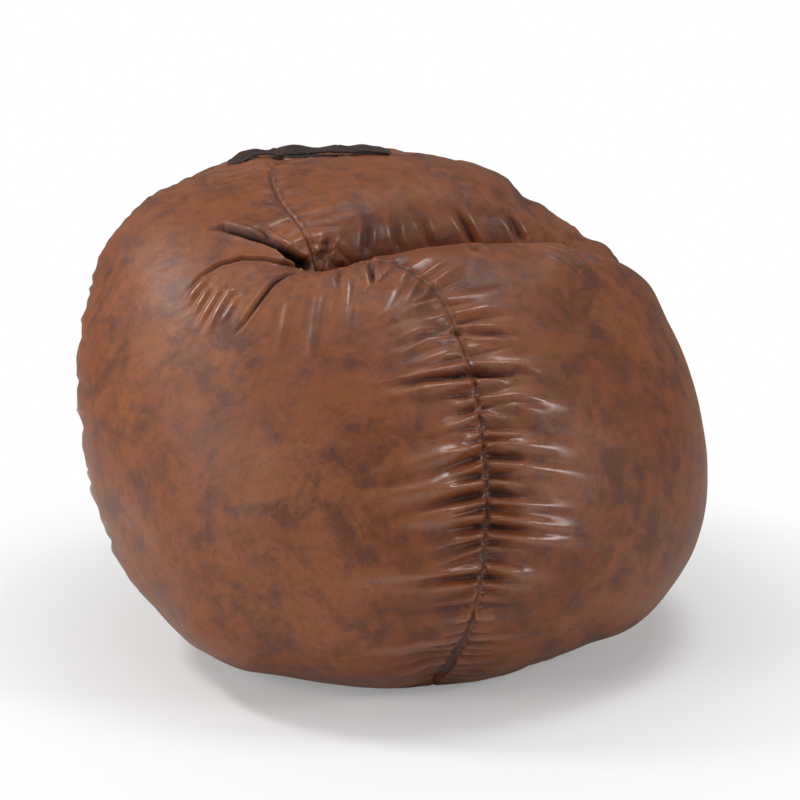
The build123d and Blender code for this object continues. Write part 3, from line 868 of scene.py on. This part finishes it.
def sculpt(bag):
    """Add folds, puckers, seam grooves and slack to the sewn bag."""
    mesh = bag.data
    places, out = coordinates(mesh), normals(mesh)
    tree = surface_tree(mesh)
    lines = seam_lines(mesh)
    away, owner, along, pairs = seam_distances(places, lines)
    folds = fold_heights(places, tree) + pucker_heights(point_panels(mesh), away, owner, along, pairs, lines)
    groove = -GROOVE_DEPTH * np.exp(-((away / GROOVE_WIDTH) ** 2))
    off_floor = np.clip((places[:, 2] - FLAT_HEIGHT) / RELIEF_RISE, 0, 1)
    heights = (folds + groove + form_heights(places, tree) + slack_heights(places)) * off_floor
    # The fold height also sets the painted shade in hollows and the painted black shadow in the deepest folds
    keep_values(mesh, "fold_height", folds)
    # The seam distance also paints a thin line of shade along each seam
    keep_values(mesh, "seam_away", away)
    keep_values(mesh, "seam_along", along + SEAM_APART * owner + FINE_SLANT * away)
    keep_values(mesh, "seam_pull", pull(places[:, 2]) * np.exp(-away / FINE_REACH))
    places = places + out * heights[:, None]
    places[:, 2] = np.maximum(places[:, 2], 0.0)
    set_coordinates(mesh, places)


def behind_seam(side):
    """Picks cells of the cap and base on one side of the left and right seams, and every side cell."""

    def picked(cell):
        away = np.array(cell.calc_center_median()) - BAG_HEART
        return cell.material_index < CAP_PANEL or side * (away @ SEAM_BACK) > 0

    return picked


def cut_panel(bag, name, panels, keep=None):
    """A piece made of some of the sewn bag's panels."""
    bm = bmesh.new()
    bm.from_mesh(bag.data)
    others = [cell for cell in bm.faces if cell.material_index not in panels or (keep and not keep(cell))]
    bmesh.ops.delete(bm, geom=others, context="FACES")
    for cell in bm.faces:
        cell.material_index = 0
        cell.smooth = True
    return piece(name, bm)


def stitch(bm, spot, run, out):
    """One short length of thread lying on the cover."""
    side = np.cross(out, run)
    turn = Matrix((run, side, out)).transposed().to_4x4()
    size = Matrix.Diagonal((STITCH_LENGTH / 2, STITCH_THICK / 2, STITCH_THICK / 2, 1))
    matrix = Matrix.Translation(Vector(spot)) @ turn @ size
    bmesh.ops.create_uvsphere(bm, u_segments=STITCH_SIDES, v_segments=STITCH_RINGS, radius=1, matrix=matrix)


def along_line(line, lengths, stops):
    """Places at distances along a line."""
    return np.stack([np.interp(stops, lengths, line[:, axis]) for axis in range(3)], axis=1)


def stitch_row(name, tree, line, lengths):
    """A row of stitches beside a seam, on the cover's surface."""
    bm = bmesh.new()
    stops = np.arange(STITCH_PITCH, lengths[-1] - STITCH_PITCH, STITCH_PITCH)
    row = along_line(line, lengths, stops)
    after = along_line(line, lengths, stops + STITCH_PITCH / 2)
    for spot, ahead in zip(row, after):
        found = tree.find_nearest(Vector(spot))
        out = np.array(found[1])
        run = unit(ahead - spot)
        beside = unit(np.cross(out, run))
        found = tree.find_nearest(Vector(spot + beside * STITCH_AWAY))
        if found[0].z < FLOOR_STITCH:
            continue
        out = np.array(found[1])
        run = unit(run - out * (run @ out))
        stitch(bm, np.array(found[0]) + out * STITCH_THICK * STITCH_LIFT, run, out)
    return smooth_shaded(piece(name, bm))


HANDLE_RUN = np.array((cos(radians(HANDLE_TURN)), sin(radians(HANDLE_TURN)), 0))
HANDLE_SIDE = np.array((-HANDLE_RUN[1], HANDLE_RUN[0], 0))


def eased(share, stops, lifts):
    """A lift between stops that starts and ends each stretch level."""
    spot = np.clip(np.searchsorted(stops, share, side="right") - 1, 0, len(stops) - 2)
    low, high = np.array(stops)[spot], np.array(stops)[spot + 1]
    ease = (1 - np.cos(pi * np.clip((share - low) / (high - low), 0, 1))) / 2
    return np.array(lifts)[spot] * (1 - ease) + np.array(lifts)[spot + 1] * ease


def strap_places(along, out, tree):
    """Places on the strap's underside, by distance along it and to the side of its middle line."""
    spots = np.array((*HANDLE_MIDDLE, 0)) + along[:, None] * HANDLE_RUN + out[:, None] * HANDLE_SIDE
    share = along / HANDLE_SPAN + 0.5
    near = eased(share, HANDLE_STOPS, HANDLE_NEAR_LIFT)
    far = eased(share, HANDLE_STOPS, HANDLE_FAR_LIFT)
    lift = near + (far - near) * (out / HANDLE_WIDTH + 0.5)
    for number, spot in enumerate(spots):
        over = tree.ray_cast(Vector((spot[0], spot[1], HANDLE_ABOVE)), Vector((0, 0, -1)))[0]
        spots[number, 2] = over[2]
    return spots + np.outer(lift, (0, 0, 1))


def strap_half(name, side, tree):
    """Half of the carry handle, from its sewn end to the middle."""
    bm = bmesh.new()
    points = bmesh.ops.create_grid(bm, x_segments=HANDLE_COLUMNS, y_segments=HANDLE_ROWS, size=1)["verts"]
    flat = np.array([point.co for point in points])
    share = (flat[:, 0] + 1) / 2 if side < 0 else (1 - flat[:, 0]) / 2
    along = side * HANDLE_SPAN / 2 * (1 - share)
    spots = strap_places(along, flat[:, 1] * HANDLE_WIDTH / 2, tree)
    for point, spot in zip(points, spots):
        point.co = spot
    bmesh.ops.recalc_face_normals(bm, faces=bm.faces[:])
    if sum(face.normal.z for face in bm.faces) < 0:
        bmesh.ops.reverse_faces(bm, faces=bm.faces[:])
    top = bmesh.ops.extrude_face_region(bm, geom=bm.faces[:])
    lifted = [item for item in top["geom"] if isinstance(item, bmesh.types.BMVert)]
    bmesh.ops.translate(bm, verts=lifted, vec=(0, 0, HANDLE_THICK))
    bmesh.ops.recalc_face_normals(bm, faces=bm.faces[:])
    return smooth_shaded(piece(name, bm))


def node_group(name, inputs, outputs):
    """A new shader node group with its sockets."""
    group = bpy.data.node_groups.new(name, "ShaderNodeTree")
    for label, kind, value in inputs:
        socket = group.interface.new_socket(label, in_out="INPUT", socket_type=kind)
        socket.default_value = value
    for label, kind in outputs:
        group.interface.new_socket(label, in_out="OUTPUT", socket_type=kind)
    return group, group.nodes.new("NodeGroupInput"), group.nodes.new("NodeGroupOutput")


def add_node(tree, kind, **values):
    """A node with some of its values set: names are inputs, or properties of the node."""
    made = tree.nodes.new(kind)
    for label, value in values.items():
        label = label.replace("_", " ")
        if label in made.inputs:
            made.inputs[label].default_value = value
        else:
            setattr(made, label.replace(" ", "_"), value)
    return made


def ramp(tree, source, *stops):
    """A colour ramp fed by a value: stops are (place, grey)."""
    made = tree.nodes.new("ShaderNodeValToRGB")
    made.color_ramp.elements.remove(made.color_ramp.elements[0])
    for number, (place, grey) in enumerate(stops):
        stop = made.color_ramp.elements[0] if number == 0 else made.color_ramp.elements.new(place)
        stop.position = place
        stop.color = (grey, grey, grey, 1)
    tree.links.new(source, made.inputs["Fac"])
    return made.outputs["Color"]


def mixed(tree, share, first, second):
    """A colour mix: each of first and second is a socket or a colour."""
    made = tree.nodes.new("ShaderNodeMix")
    made.data_type = "RGBA"
    for socket, value in ((made.inputs[0], share), (made.inputs[6], first), (made.inputs[7], second)):
        if isinstance(value, bpy.types.NodeSocket):
            tree.links.new(value, socket)
        else:
            socket.default_value = value
    return made.outputs[2]


def sums(tree, operation, first, second):
    """A value worked out from two: each is a socket or a number."""
    made = tree.nodes.new("ShaderNodeMath")
    made.operation = operation
    for socket, value in zip(made.inputs, (first, second)):
        if isinstance(value, bpy.types.NodeSocket):
            tree.links.new(value, socket)
        else:
            socket.default_value = value
    return made.outputs[0]


def hide_group():
    """Distressed faux leather: cloudy dark patches, speckle, pebble grain, rubbed ridges and seam puckers,
    with painted shade in the hollows of folds and along the seams, and a painted black shadow in the deepest
    folds.
    """
    inputs = (
        ("Light", "NodeSocketColor", COVER_LIGHT),
        ("Dark", "NodeSocketColor", COVER_DARK),
        ("Rubbed", "NodeSocketColor", COVER_RUBBED),
        ("Patches", "NodeSocketFloat", 0.5),
        ("Fold", "NodeSocketFloat", 0.0),
        ("Away", "NodeSocketFloat", 1.0),
        ("Along", "NodeSocketFloat", 0.0),
        ("Pull", "NodeSocketFloat", 0.0),
    )
    outputs = (
        ("Color", "NodeSocketColor"),
        ("Roughness", "NodeSocketFloat"),
        ("Gloss", "NodeSocketFloat"),
        ("Grain", "NodeSocketFloat"),
        ("Crinkle", "NodeSocketFloat"),
    )
    group, given, result = node_group("distressed_hide", inputs, outputs)
    place = group.nodes.new("ShaderNodeTexCoord").outputs["Object"]
    cloud = add_node(group, "ShaderNodeTexNoise", Scale=15.0, Detail=8.0, Roughness=0.68, Distortion=0.6)
    smear = add_node(group, "ShaderNodeTexNoise", Scale=34.0, Detail=6.0, Roughness=0.7, Distortion=0.4)
    tint = add_node(group, "ShaderNodeTexNoise", Scale=4.5, Detail=4.0, Roughness=0.6)
    speck = add_node(group, "ShaderNodeTexNoise", Scale=210.0, Detail=3.0, Roughness=0.6)
    vein = add_node(group, "ShaderNodeTexNoise", Scale=64.0, Detail=7.0, Roughness=0.72, Distortion=0.2)
    slack = add_node(group, "ShaderNodeTexNoise", Scale=26.0, Detail=3.0, Roughness=0.55, Distortion=0.8)
    pebble = add_node(group, "ShaderNodeTexVoronoi", Scale=520.0)
    pebble.feature = "DISTANCE_TO_EDGE"
    for texture in (cloud, smear, tint, speck, vein, slack, pebble):
        group.links.new(place, texture.inputs["Vector"])
    mask = sums(group, "ADD", cloud.outputs[0], sums(group, "MULTIPLY", smear.outputs[0], SMEAR_IN_PATCHES))
    mask = sums(group, "ADD", mask, sums(group, "MULTIPLY", given.outputs["Patches"], PATCH_SHIFT))
    patches = ramp(group, mask, *PATCH_STOPS)
    warm = ramp(group, tint.outputs[0], *WARM_STOPS)
    colour = mixed(group, warm, given.outputs["Light"], given.outputs["Rubbed"])
    colour = mixed(group, patches, colour, given.outputs["Dark"])
    dots = ramp(group, speck.outputs[0], *SPECK_STOPS)
    colour = mixed(group, dots, colour, given.outputs["Dark"])
    veins = ramp(group, vein.outputs[0], *VEIN_STOPS)
    colour = mixed(group, veins, colour, given.outputs["Dark"])
    lifted = ramp(group, sums(group, "MULTIPLY", given.outputs["Fold"], RIDGE_GAIN), *RIDGE_STOPS)
    # Painted shade in the hollows of folds
    painted_hollow_shade = ramp(group, sums(group, "MULTIPLY", given.outputs["Fold"], HOLLOW_SHADE_GAIN), *HOLLOW_SHADE_STOPS)
    # Painted shadow, near black, in the deepest folds
    deep = ramp(group, sums(group, "MULTIPLY", given.outputs["Fold"], FOLD_SHADOW_GAIN), *FOLD_SHADOW_STOPS)
    # Painted shade along the seam grooves; the same line also dips the bump
    line = ramp(group, sums(group, "MULTIPLY", given.outputs["Away"], SEAM_SHADE_GAIN), *SEAM_SHADE_STOPS)
    colour = mixed(group, lifted, colour, given.outputs["Rubbed"])
    colour = mixed(group, painted_hollow_shade, colour, given.outputs["Dark"])
    colour = mixed(group, line, colour, given.outputs["Dark"])
    colour = mixed(group, deep, colour, FOLD_SHADOW_BLACK)
    group.links.new(colour, result.inputs["Color"])
    sheen = sums(group, "MULTIPLY_ADD", patches, PATCH_ROUGHNESS)
    sheen.node.inputs[2].default_value = HIDE_ROUGHNESS
    sheen = sums(group, "ADD", sheen, sums(group, "MULTIPLY", speck.outputs[0], SPECK_ROUGHNESS))
    polished = ramp(group, sums(group, "MULTIPLY", given.outputs["Fold"], RIDGE_GAIN), *POLISH_STOPS)
    worn = sums(group, "MAXIMUM", polished, given.outputs["Pull"])
    group.links.new(sums(group, "MULTIPLY", worn, WORN_GLOSS), result.inputs["Gloss"])
    sheen = sums(group, "SUBTRACT", sheen, sums(group, "MULTIPLY", worn, WORN_ROUGHNESS))
    group.links.new(sheen, result.inputs["Roughness"])
    grain = ramp(group, pebble.outputs["Distance"], *GRAIN_STOPS)
    height = sums(group, "ADD", grain, sums(group, "MULTIPLY", smear.outputs[0], SMEAR_GRAIN))
    height = sums(group, "ADD", height, sums(group, "MULTIPLY", speck.outputs[0], SPECK_GRAIN))
    group.links.new(height, result.inputs["Grain"])
    seam_place = group.nodes.new("ShaderNodeCombineXYZ")
    group.links.new(given.outputs["Along"], seam_place.inputs["X"])
    stretched = sums(group, "MULTIPLY", given.outputs["Away"], GATHER_STRETCH)
    group.links.new(stretched, seam_place.inputs["Y"])
    gather = add_node(group, "ShaderNodeTexNoise", Scale=130.0, Detail=2.0, Roughness=0.5)
    group.links.new(seam_place.outputs[0], gather.inputs["Vector"])
    ridges = sums(group, "ABSOLUTE", sums(group, "SUBTRACT", gather.outputs[0], 0.5), 0.0)
    ridges = sums(group, "MULTIPLY", ridges, sums(group, "MULTIPLY", given.outputs["Pull"], GATHER_GAIN))
    dip = sums(group, "MULTIPLY", line, SEAM_DIP)
    crinkle = sums(group, "ADD", sums(group, "ADD", slack.outputs[0], ridges), dip)
    group.links.new(crinkle, result.inputs["Crinkle"])
    return group


def weave_group():
    """Plain woven cloth: threads over and under each other."""
    inputs = (
        ("Light", "NodeSocketColor", LINER_LIGHT),
        ("Dark", "NodeSocketColor", LINER_DARK),
        ("Threads", "NodeSocketFloat", 1400.0),
    )
    outputs = (("Color", "NodeSocketColor"), ("Height", "NodeSocketFloat"))
    group, given, result = node_group("plain_weave", inputs, outputs)
    place = group.nodes.new("ShaderNodeTexCoord").outputs["Object"]
    waves = []
    for axis in ("X", "Y"):
        wave = add_node(group, "ShaderNodeTexWave", Distortion=0.6, Detail=1.0)
        wave.bands_direction = axis
        group.links.new(place, wave.inputs["Vector"])
        group.links.new(given.outputs["Threads"], wave.inputs["Scale"])
        waves.append(wave.outputs["Fac"])
    over = sums(group, "MAXIMUM", *waves)
    group.links.new(mixed(group, over, given.outputs["Dark"], given.outputs["Light"]), result.inputs["Color"])
    group.links.new(over, result.inputs["Height"])
    return group


def material(name):
    """A new material: its node tree and its shader."""
    made = bpy.data.materials.new(name)
    made.use_nodes = True
    return made, made.node_tree, made.node_tree.nodes["Principled BSDF"]


def add_bump(tree, shader, height, strength, distance):
    """Feed a height to the shader's normal, over any height that it already has."""
    bump = add_node(tree, "ShaderNodeBump", Strength=strength, Distance=distance)
    tree.links.new(height, bump.inputs["Height"])
    for link in shader.inputs["Normal"].links:
        tree.links.new(link.from_socket, bump.inputs["Normal"])
    tree.links.new(bump.outputs["Normal"], shader.inputs["Normal"])


SEWN_VALUES = (("Fold", "fold_height"), ("Away", "seam_away"), ("Along", "seam_along"), ("Pull", "seam_pull"))


def leather(name, group, light, dark, rubbed, patches, folded):
    """Faux leather in its own colours."""
    made, tree, shader = material(name)
    hide = tree.nodes.new("ShaderNodeGroup")
    hide.node_tree = group
    own = {"Light": light, "Dark": dark, "Rubbed": rubbed, "Patches": patches}
    for label, value in own.items():
        hide.inputs[label].default_value = value
    for label, values in SEWN_VALUES if folded else ():
        value = tree.nodes.new("ShaderNodeAttribute")
        value.attribute_name = values
        tree.links.new(value.outputs["Fac"], hide.inputs[label])
    tree.links.new(hide.outputs["Color"], shader.inputs["Base Color"])
    tree.links.new(hide.outputs["Roughness"], shader.inputs["Roughness"])
    tree.links.new(hide.outputs["Gloss"], shader.inputs["Coat Weight"])
    shader.inputs["Coat Roughness"].default_value = COAT_ROUGHNESS
    shader.inputs["Specular IOR Level"].default_value = HIDE_SPECULAR
    add_bump(tree, shader, hide.outputs["Crinkle"], *CRINKLE_BUMP)
    add_bump(tree, shader, hide.outputs["Grain"], *GRAIN_BUMP)
    return made


def woven(name, group, light, dark, threads):
    """Woven tape or lining cloth."""
    made, tree, shader = material(name)
    weave = tree.nodes.new("ShaderNodeGroup")
    weave.node_tree = group
    for label, value in {"Light": light, "Dark": dark, "Threads": threads}.items():
        weave.inputs[label].default_value = value
    tree.links.new(weave.outputs["Color"], shader.inputs["Base Color"])
    shader.inputs["Roughness"].default_value = WEAVE_ROUGHNESS
    add_bump(tree, shader, weave.outputs["Height"], *WEAVE_BUMP)
    return made


def moulded(name, colour, metallic, roughness, scale):
    """Metal or moulded plastic with fine scuffs."""
    made, tree, shader = material(name)
    place = tree.nodes.new("ShaderNodeTexCoord").outputs["Object"]
    scuff = add_node(tree, "ShaderNodeTexNoise", Scale=scale, Detail=5.0, Roughness=0.65)
    tree.links.new(place, scuff.inputs["Vector"])
    dull = tuple(channel * SCUFF_DULL for channel in colour[:3]) + (1,)
    worn = ramp(tree, scuff.outputs[0], *SCUFF_STOPS)
    tree.links.new(mixed(tree, worn, dull, colour), shader.inputs["Base Color"])
    rough = sums(tree, "MULTIPLY_ADD", scuff.outputs[0], SCUFF_ROUGHNESS)
    rough.node.inputs[2].default_value = roughness - SCUFF_START
    tree.links.new(rough, shader.inputs["Roughness"])
    shader.inputs["Metallic"].default_value = metallic
    add_bump(tree, shader, scuff.outputs[0], *SCUFF_BUMP)
    return made


def beads(name):
    """Loose white foam beads."""
    made, tree, shader = material(name)
    place = tree.nodes.new("ShaderNodeTexCoord").outputs["Object"]
    bead = add_node(tree, "ShaderNodeTexVoronoi", Scale=260.0)
    tree.links.new(place, bead.inputs["Vector"])
    shade = ramp(tree, bead.outputs["Distance"], *BEAD_STOPS)
    tree.links.new(mixed(tree, shade, BEAD_SHADE, BEAD_WHITE), shader.inputs["Base Color"])
    shader.inputs["Roughness"].default_value = BEAD_ROUGHNESS
    add_bump(tree, shader, shade, *BEAD_BUMP)
    return made


def dress(made, finish, body="bag"):
    """Give a piece its material, its slot and, where one body carries it, that body."""
    made.data.materials.clear()
    made.data.materials.append(finish)
    if body:
        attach(made, body)


def base_half(name, side):
    """Half of the round base, with its half of the raised zip well."""
    bm = bmesh.new()
    points = bmesh.ops.create_grid(bm, x_segments=BASE_COLUMNS, y_segments=BASE_ROWS, size=1)["verts"]
    flat = np.array([point.co for point in points])
    radius = BASE_RADIUS - BASE_SEAM_GAP
    x = radius * np.sin(flat[:, 0] * pi / 2 * BASE_ARC)
    rim = np.sqrt(radius**2 - x**2)
    share = ((flat[:, 1] + 1) / 2) ** BASE_CROWDING
    in_slit = np.clip((ZIP_LENGTH / 2 + SLIT_PAST_ZIP - np.abs(x)) / SLIT_TAPER, 0, 1)
    inner = np.minimum(HALVES_GAP + in_slit * (SLIT_HALF - HALVES_GAP), rim * RIM_SHARE)
    y = inner + share * (rim - inner)
    long_rise = np.clip((ZIP_LENGTH / 2 + WELL_END + WELL_SLOPE - np.abs(x)) / WELL_SLOPE, 0, 1)
    wide_rise = np.clip((WELL_WIDTH / 2 + WELL_SLOPE - y) / WELL_SLOPE, 0, 1)
    rise = np.minimum(long_rise, wide_rise)
    z = COVER_THICK / 2 + BASE_LIFT + WELL_HEIGHT * rise * rise * (3 - 2 * rise)
    for point, spot in zip(points, np.stack((BASE_MIDDLE[0] + x, BASE_MIDDLE[1] + side * y, z), axis=1)):
        point.co = spot
    bmesh.ops.recalc_face_normals(bm, faces=bm.faces[:])
    if sum(face.normal.z for face in bm.faces) > 0:
        bmesh.ops.reverse_faces(bm, faces=bm.faces[:])
    bmesh.ops.solidify(bm, geom=bm.faces[:], thickness=COVER_THICK)
    bmesh.ops.recalc_face_normals(bm, faces=bm.faces[:])
    made = smooth_shaded(piece(name, bm))
    # Distance to the base's ring seam, which paints a thin line of shade along it
    from_middle = np.linalg.norm(coordinates(made.data)[:, :2] - BASE_MIDDLE, axis=1)
    keep_values(made.data, "seam_away", BASE_RADIUS - from_middle)
    return made


def inner_layer(coarse, tree, inset, floor):
    """A closed layer that follows the cover and its folds inside it, with more room behind the seams."""
    made = coarse.copy()
    made.data = coarse.data.copy()
    bpy.context.scene.collection.objects.link(made)
    finer(made, 1)
    places, out = coordinates(made.data), normals(made.data)
    away = seam_distances(places, seam_lines(made.data))[0]
    room = inset + SEAM_ROOM * np.exp(-((away / PUCKER_REACH) ** 2))
    places = places + out * (fold_heights(places, tree) + form_heights(places, tree) - room)[:, None]
    places[:, 2] = np.maximum(places[:, 2], floor)
    set_coordinates(made.data, places)
    return made


def make_floor():
    """A pale floor that fades to the white background and keeps the bag's shadow."""
    bm = bmesh.new()
    bmesh.ops.create_grid(bm, x_segments=1, y_segments=1, size=FLOOR_HALF)
    bmesh.ops.translate(bm, verts=bm.verts[:], vec=(0, 0, FLOOR_DROP))
    floor = piece("studio_floor", bm)
    made, tree, shader = material("pale_floor")
    shader.inputs["Base Color"].default_value = FLOOR_PALE
    shader.inputs["Roughness"].default_value = FLOOR_ROUGHNESS
    place = tree.nodes.new("ShaderNodeTexCoord").outputs["Object"]
    away = tree.nodes.new("ShaderNodeVectorMath")
    away.operation = "LENGTH"
    tree.links.new(place, away.inputs[0])
    fade = ramp(tree, sums(tree, "MULTIPLY", away.outputs["Value"], FLOOR_FADE_SCALE), *FLOOR_FADE)
    path = tree.nodes.new("ShaderNodeLightPath")
    seen = sums(tree, "MAXIMUM", path.outputs["Is Camera Ray"], path.outputs["Is Transmission Ray"])
    white = add_node(tree, "ShaderNodeEmission", Strength=1.0)
    blend = tree.nodes.new("ShaderNodeMixShader")
    tree.links.new(sums(tree, "MULTIPLY", fade, seen), blend.inputs[0])
    tree.links.new(shader.outputs[0], blend.inputs[1])
    tree.links.new(white.outputs[0], blend.inputs[2])
    tree.links.new(blend.outputs[0], tree.nodes["Material Output"].inputs["Surface"])
    floor.data.materials.append(made)


def make_world():
    """White to the camera, and a softer even light on the bag."""
    world = bpy.data.worlds.new("studio")
    bpy.context.scene.world = world
    world.use_nodes = True
    tree = world.node_tree
    back = tree.nodes["Background"]
    back.inputs["Color"].default_value = (1, 1, 1, 1)
    path = tree.nodes.new("ShaderNodeLightPath")
    seen = sums(tree, "MAXIMUM", path.outputs["Is Camera Ray"], path.outputs["Is Transmission Ray"])
    level = sums(tree, "MULTIPLY_ADD", seen, 1 - WORLD_LIGHT)
    level.node.inputs[2].default_value = WORLD_LIGHT
    tree.links.new(level, back.inputs["Strength"])


def make_lamp(name, place, aim, side, power):
    """A square soft lamp."""
    lamp = bpy.data.lights.new(name, "AREA")
    lamp.shape = "SQUARE"
    lamp.size = side
    lamp.energy = power
    made = bpy.data.objects.new(name, lamp)
    bpy.context.scene.collection.objects.link(made)
    made.location = place
    made.rotation_euler = (Vector(aim) - Vector(place)).to_track_quat("-Z", "Y").to_euler()


def make_camera():
    """The camera where the photograph was taken."""
    lens = bpy.data.cameras.new("photo_camera")
    lens.sensor_width = SENSOR
    lens.lens = SENSOR * FOCAL_PIXELS / PHOTO_SIDE
    lens.shift_x = (PHOTO_SIDE / 2 - AIM_PIXEL[0]) / PHOTO_SIDE
    lens.shift_y = (AIM_PIXEL[1] - PHOTO_SIDE / 2) / PHOTO_SIDE
    made = bpy.data.objects.new("photo_camera", lens)
    bpy.context.scene.collection.objects.link(made)
    turn = Matrix((CAMERA_RIGHT, CAMERA_UP, CAMERA_BACK)).transposed().to_4x4()
    made.matrix_world = Matrix.Translation(Vector(CAMERA_PLACE)) @ turn
    bpy.context.scene.camera = made


make_camera()
make_world()
make_floor()
for lamp in LAMPS:
    make_lamp(*lamp)

HIDE = hide_group()
WEAVE = weave_group()
COVER_COLOURS = (COVER_LIGHT, COVER_DARK, COVER_RUBBED)
STRAP_COLOURS = (STRAP_LIGHT, STRAP_DARK, STRAP_RUBBED)
COVER_LEATHER = leather("cover_leather", HIDE, *COVER_COLOURS, patches=0.5, folded=True)
STRAP_LEATHER = leather("strap_leather", HIDE, *STRAP_COLOURS, patches=0.6, folded=False)
THREAD = woven("cover_thread", WEAVE, THREAD_LIGHT, THREAD_DARK, threads=2400.0)
TAPE_CLOTH = woven("zip_tape", WEAVE, TAPE_LIGHT, TAPE_DARK, threads=1500.0)
LINER_CLOTH = woven("liner_cloth", WEAVE, LINER_LIGHT, LINER_DARK, threads=900.0)
ZIP_METAL = moulded("zip_metal", SLIDER_METAL, metallic=1.0, roughness=0.36, scale=900.0)
ZIP_TEETH = moulded("zip_teeth", TEETH_BROWN, metallic=0.0, roughness=0.42, scale=700.0)
BEADS = beads("beads")

bag, closeness = sewn_bag()
press_fill(bag, closeness)
coarse = bag.copy()
coarse.data = bag.data.copy()
finer(bag, SMOOTHINGS)
plain_tree = surface_tree(bag.data)
finer_at_folds(bag, plain_tree)
sculpt(bag)
bag_tree = surface_tree(bag.data)

for number, name in enumerate(PANEL_NAMES):
    panel = cut_panel(bag, f"cover_{name}", (number,))
    dress(panel, COVER_LEATHER)
    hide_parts(f"cover_panel_{name}")
cap = cut_panel(bag, "cover_cap", (CAP_PANEL,))
dress(cap, COVER_LEATHER)
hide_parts("cover_top_cap")

for name, side in (("front", -1), ("rear", 1)):
    half = base_half(f"base_{name}", side)
    dress(half, COVER_LEATHER)
    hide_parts(f"base_panel_{name}")

for pair, (line, lengths) in seam_lines(bag.data).items():
    if BASE_PANEL in pair:
        continue
    stitches = stitch_row(f"topstitch_{pair[0]}_{pair[1]}", bag_tree, line, lengths)
    dress(stitches, THREAD)

for name, side in (("left", -1), ("right", 1)):
    strap = strap_half(f"strap_{name}", side, plain_tree)
    dress(strap, STRAP_LEATHER, body=None)
    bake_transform(strap)
    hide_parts(f"handle_end_{name}", "carry_handle")

for node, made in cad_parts.items():
    if node.startswith("zipper_tape") or node.startswith("liner_zip_tape"):
        finish = TAPE_CLOTH
    elif node.startswith("zipper_teeth") or node.startswith("liner_zip_coil"):
        finish = ZIP_TEETH
    elif "slider" in node or "stop" in node:
        finish = ZIP_METAL
    elif node.startswith("liner"):
        finish = LINER_CLOTH
    elif node == "bead_fill":
        finish = BEADS
    else:
        continue
    made.data.materials.clear()
    made.data.materials.append(finish)

lining = inner_layer(coarse, plain_tree, LINER_INSET, LINER_FLOOR)
for name, panels, ahead in (("front", FRONT_PANELS, -1), ("rear", REAR_PANELS, 1)):
    half = cut_panel(lining, f"inner_bag_{name}", (*panels, CAP_PANEL, BASE_PANEL), behind_seam(ahead))
    dress(half, LINER_CLOTH)
    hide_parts(f"liner_{name}")
filling = inner_layer(coarse, plain_tree, FILL_INSET, FILL_FLOOR)
fill = cut_panel(filling, "bead_filling", range(BASE_PANEL + 1))
dress(fill, BEADS)
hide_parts("bead_fill")

for spare in (bag, coarse, lining, filling):
    bpy.data.objects.remove(spare)
bpy.context.scene.view_settings.view_transform = "Standard"
bpy.context.view_layer.update()
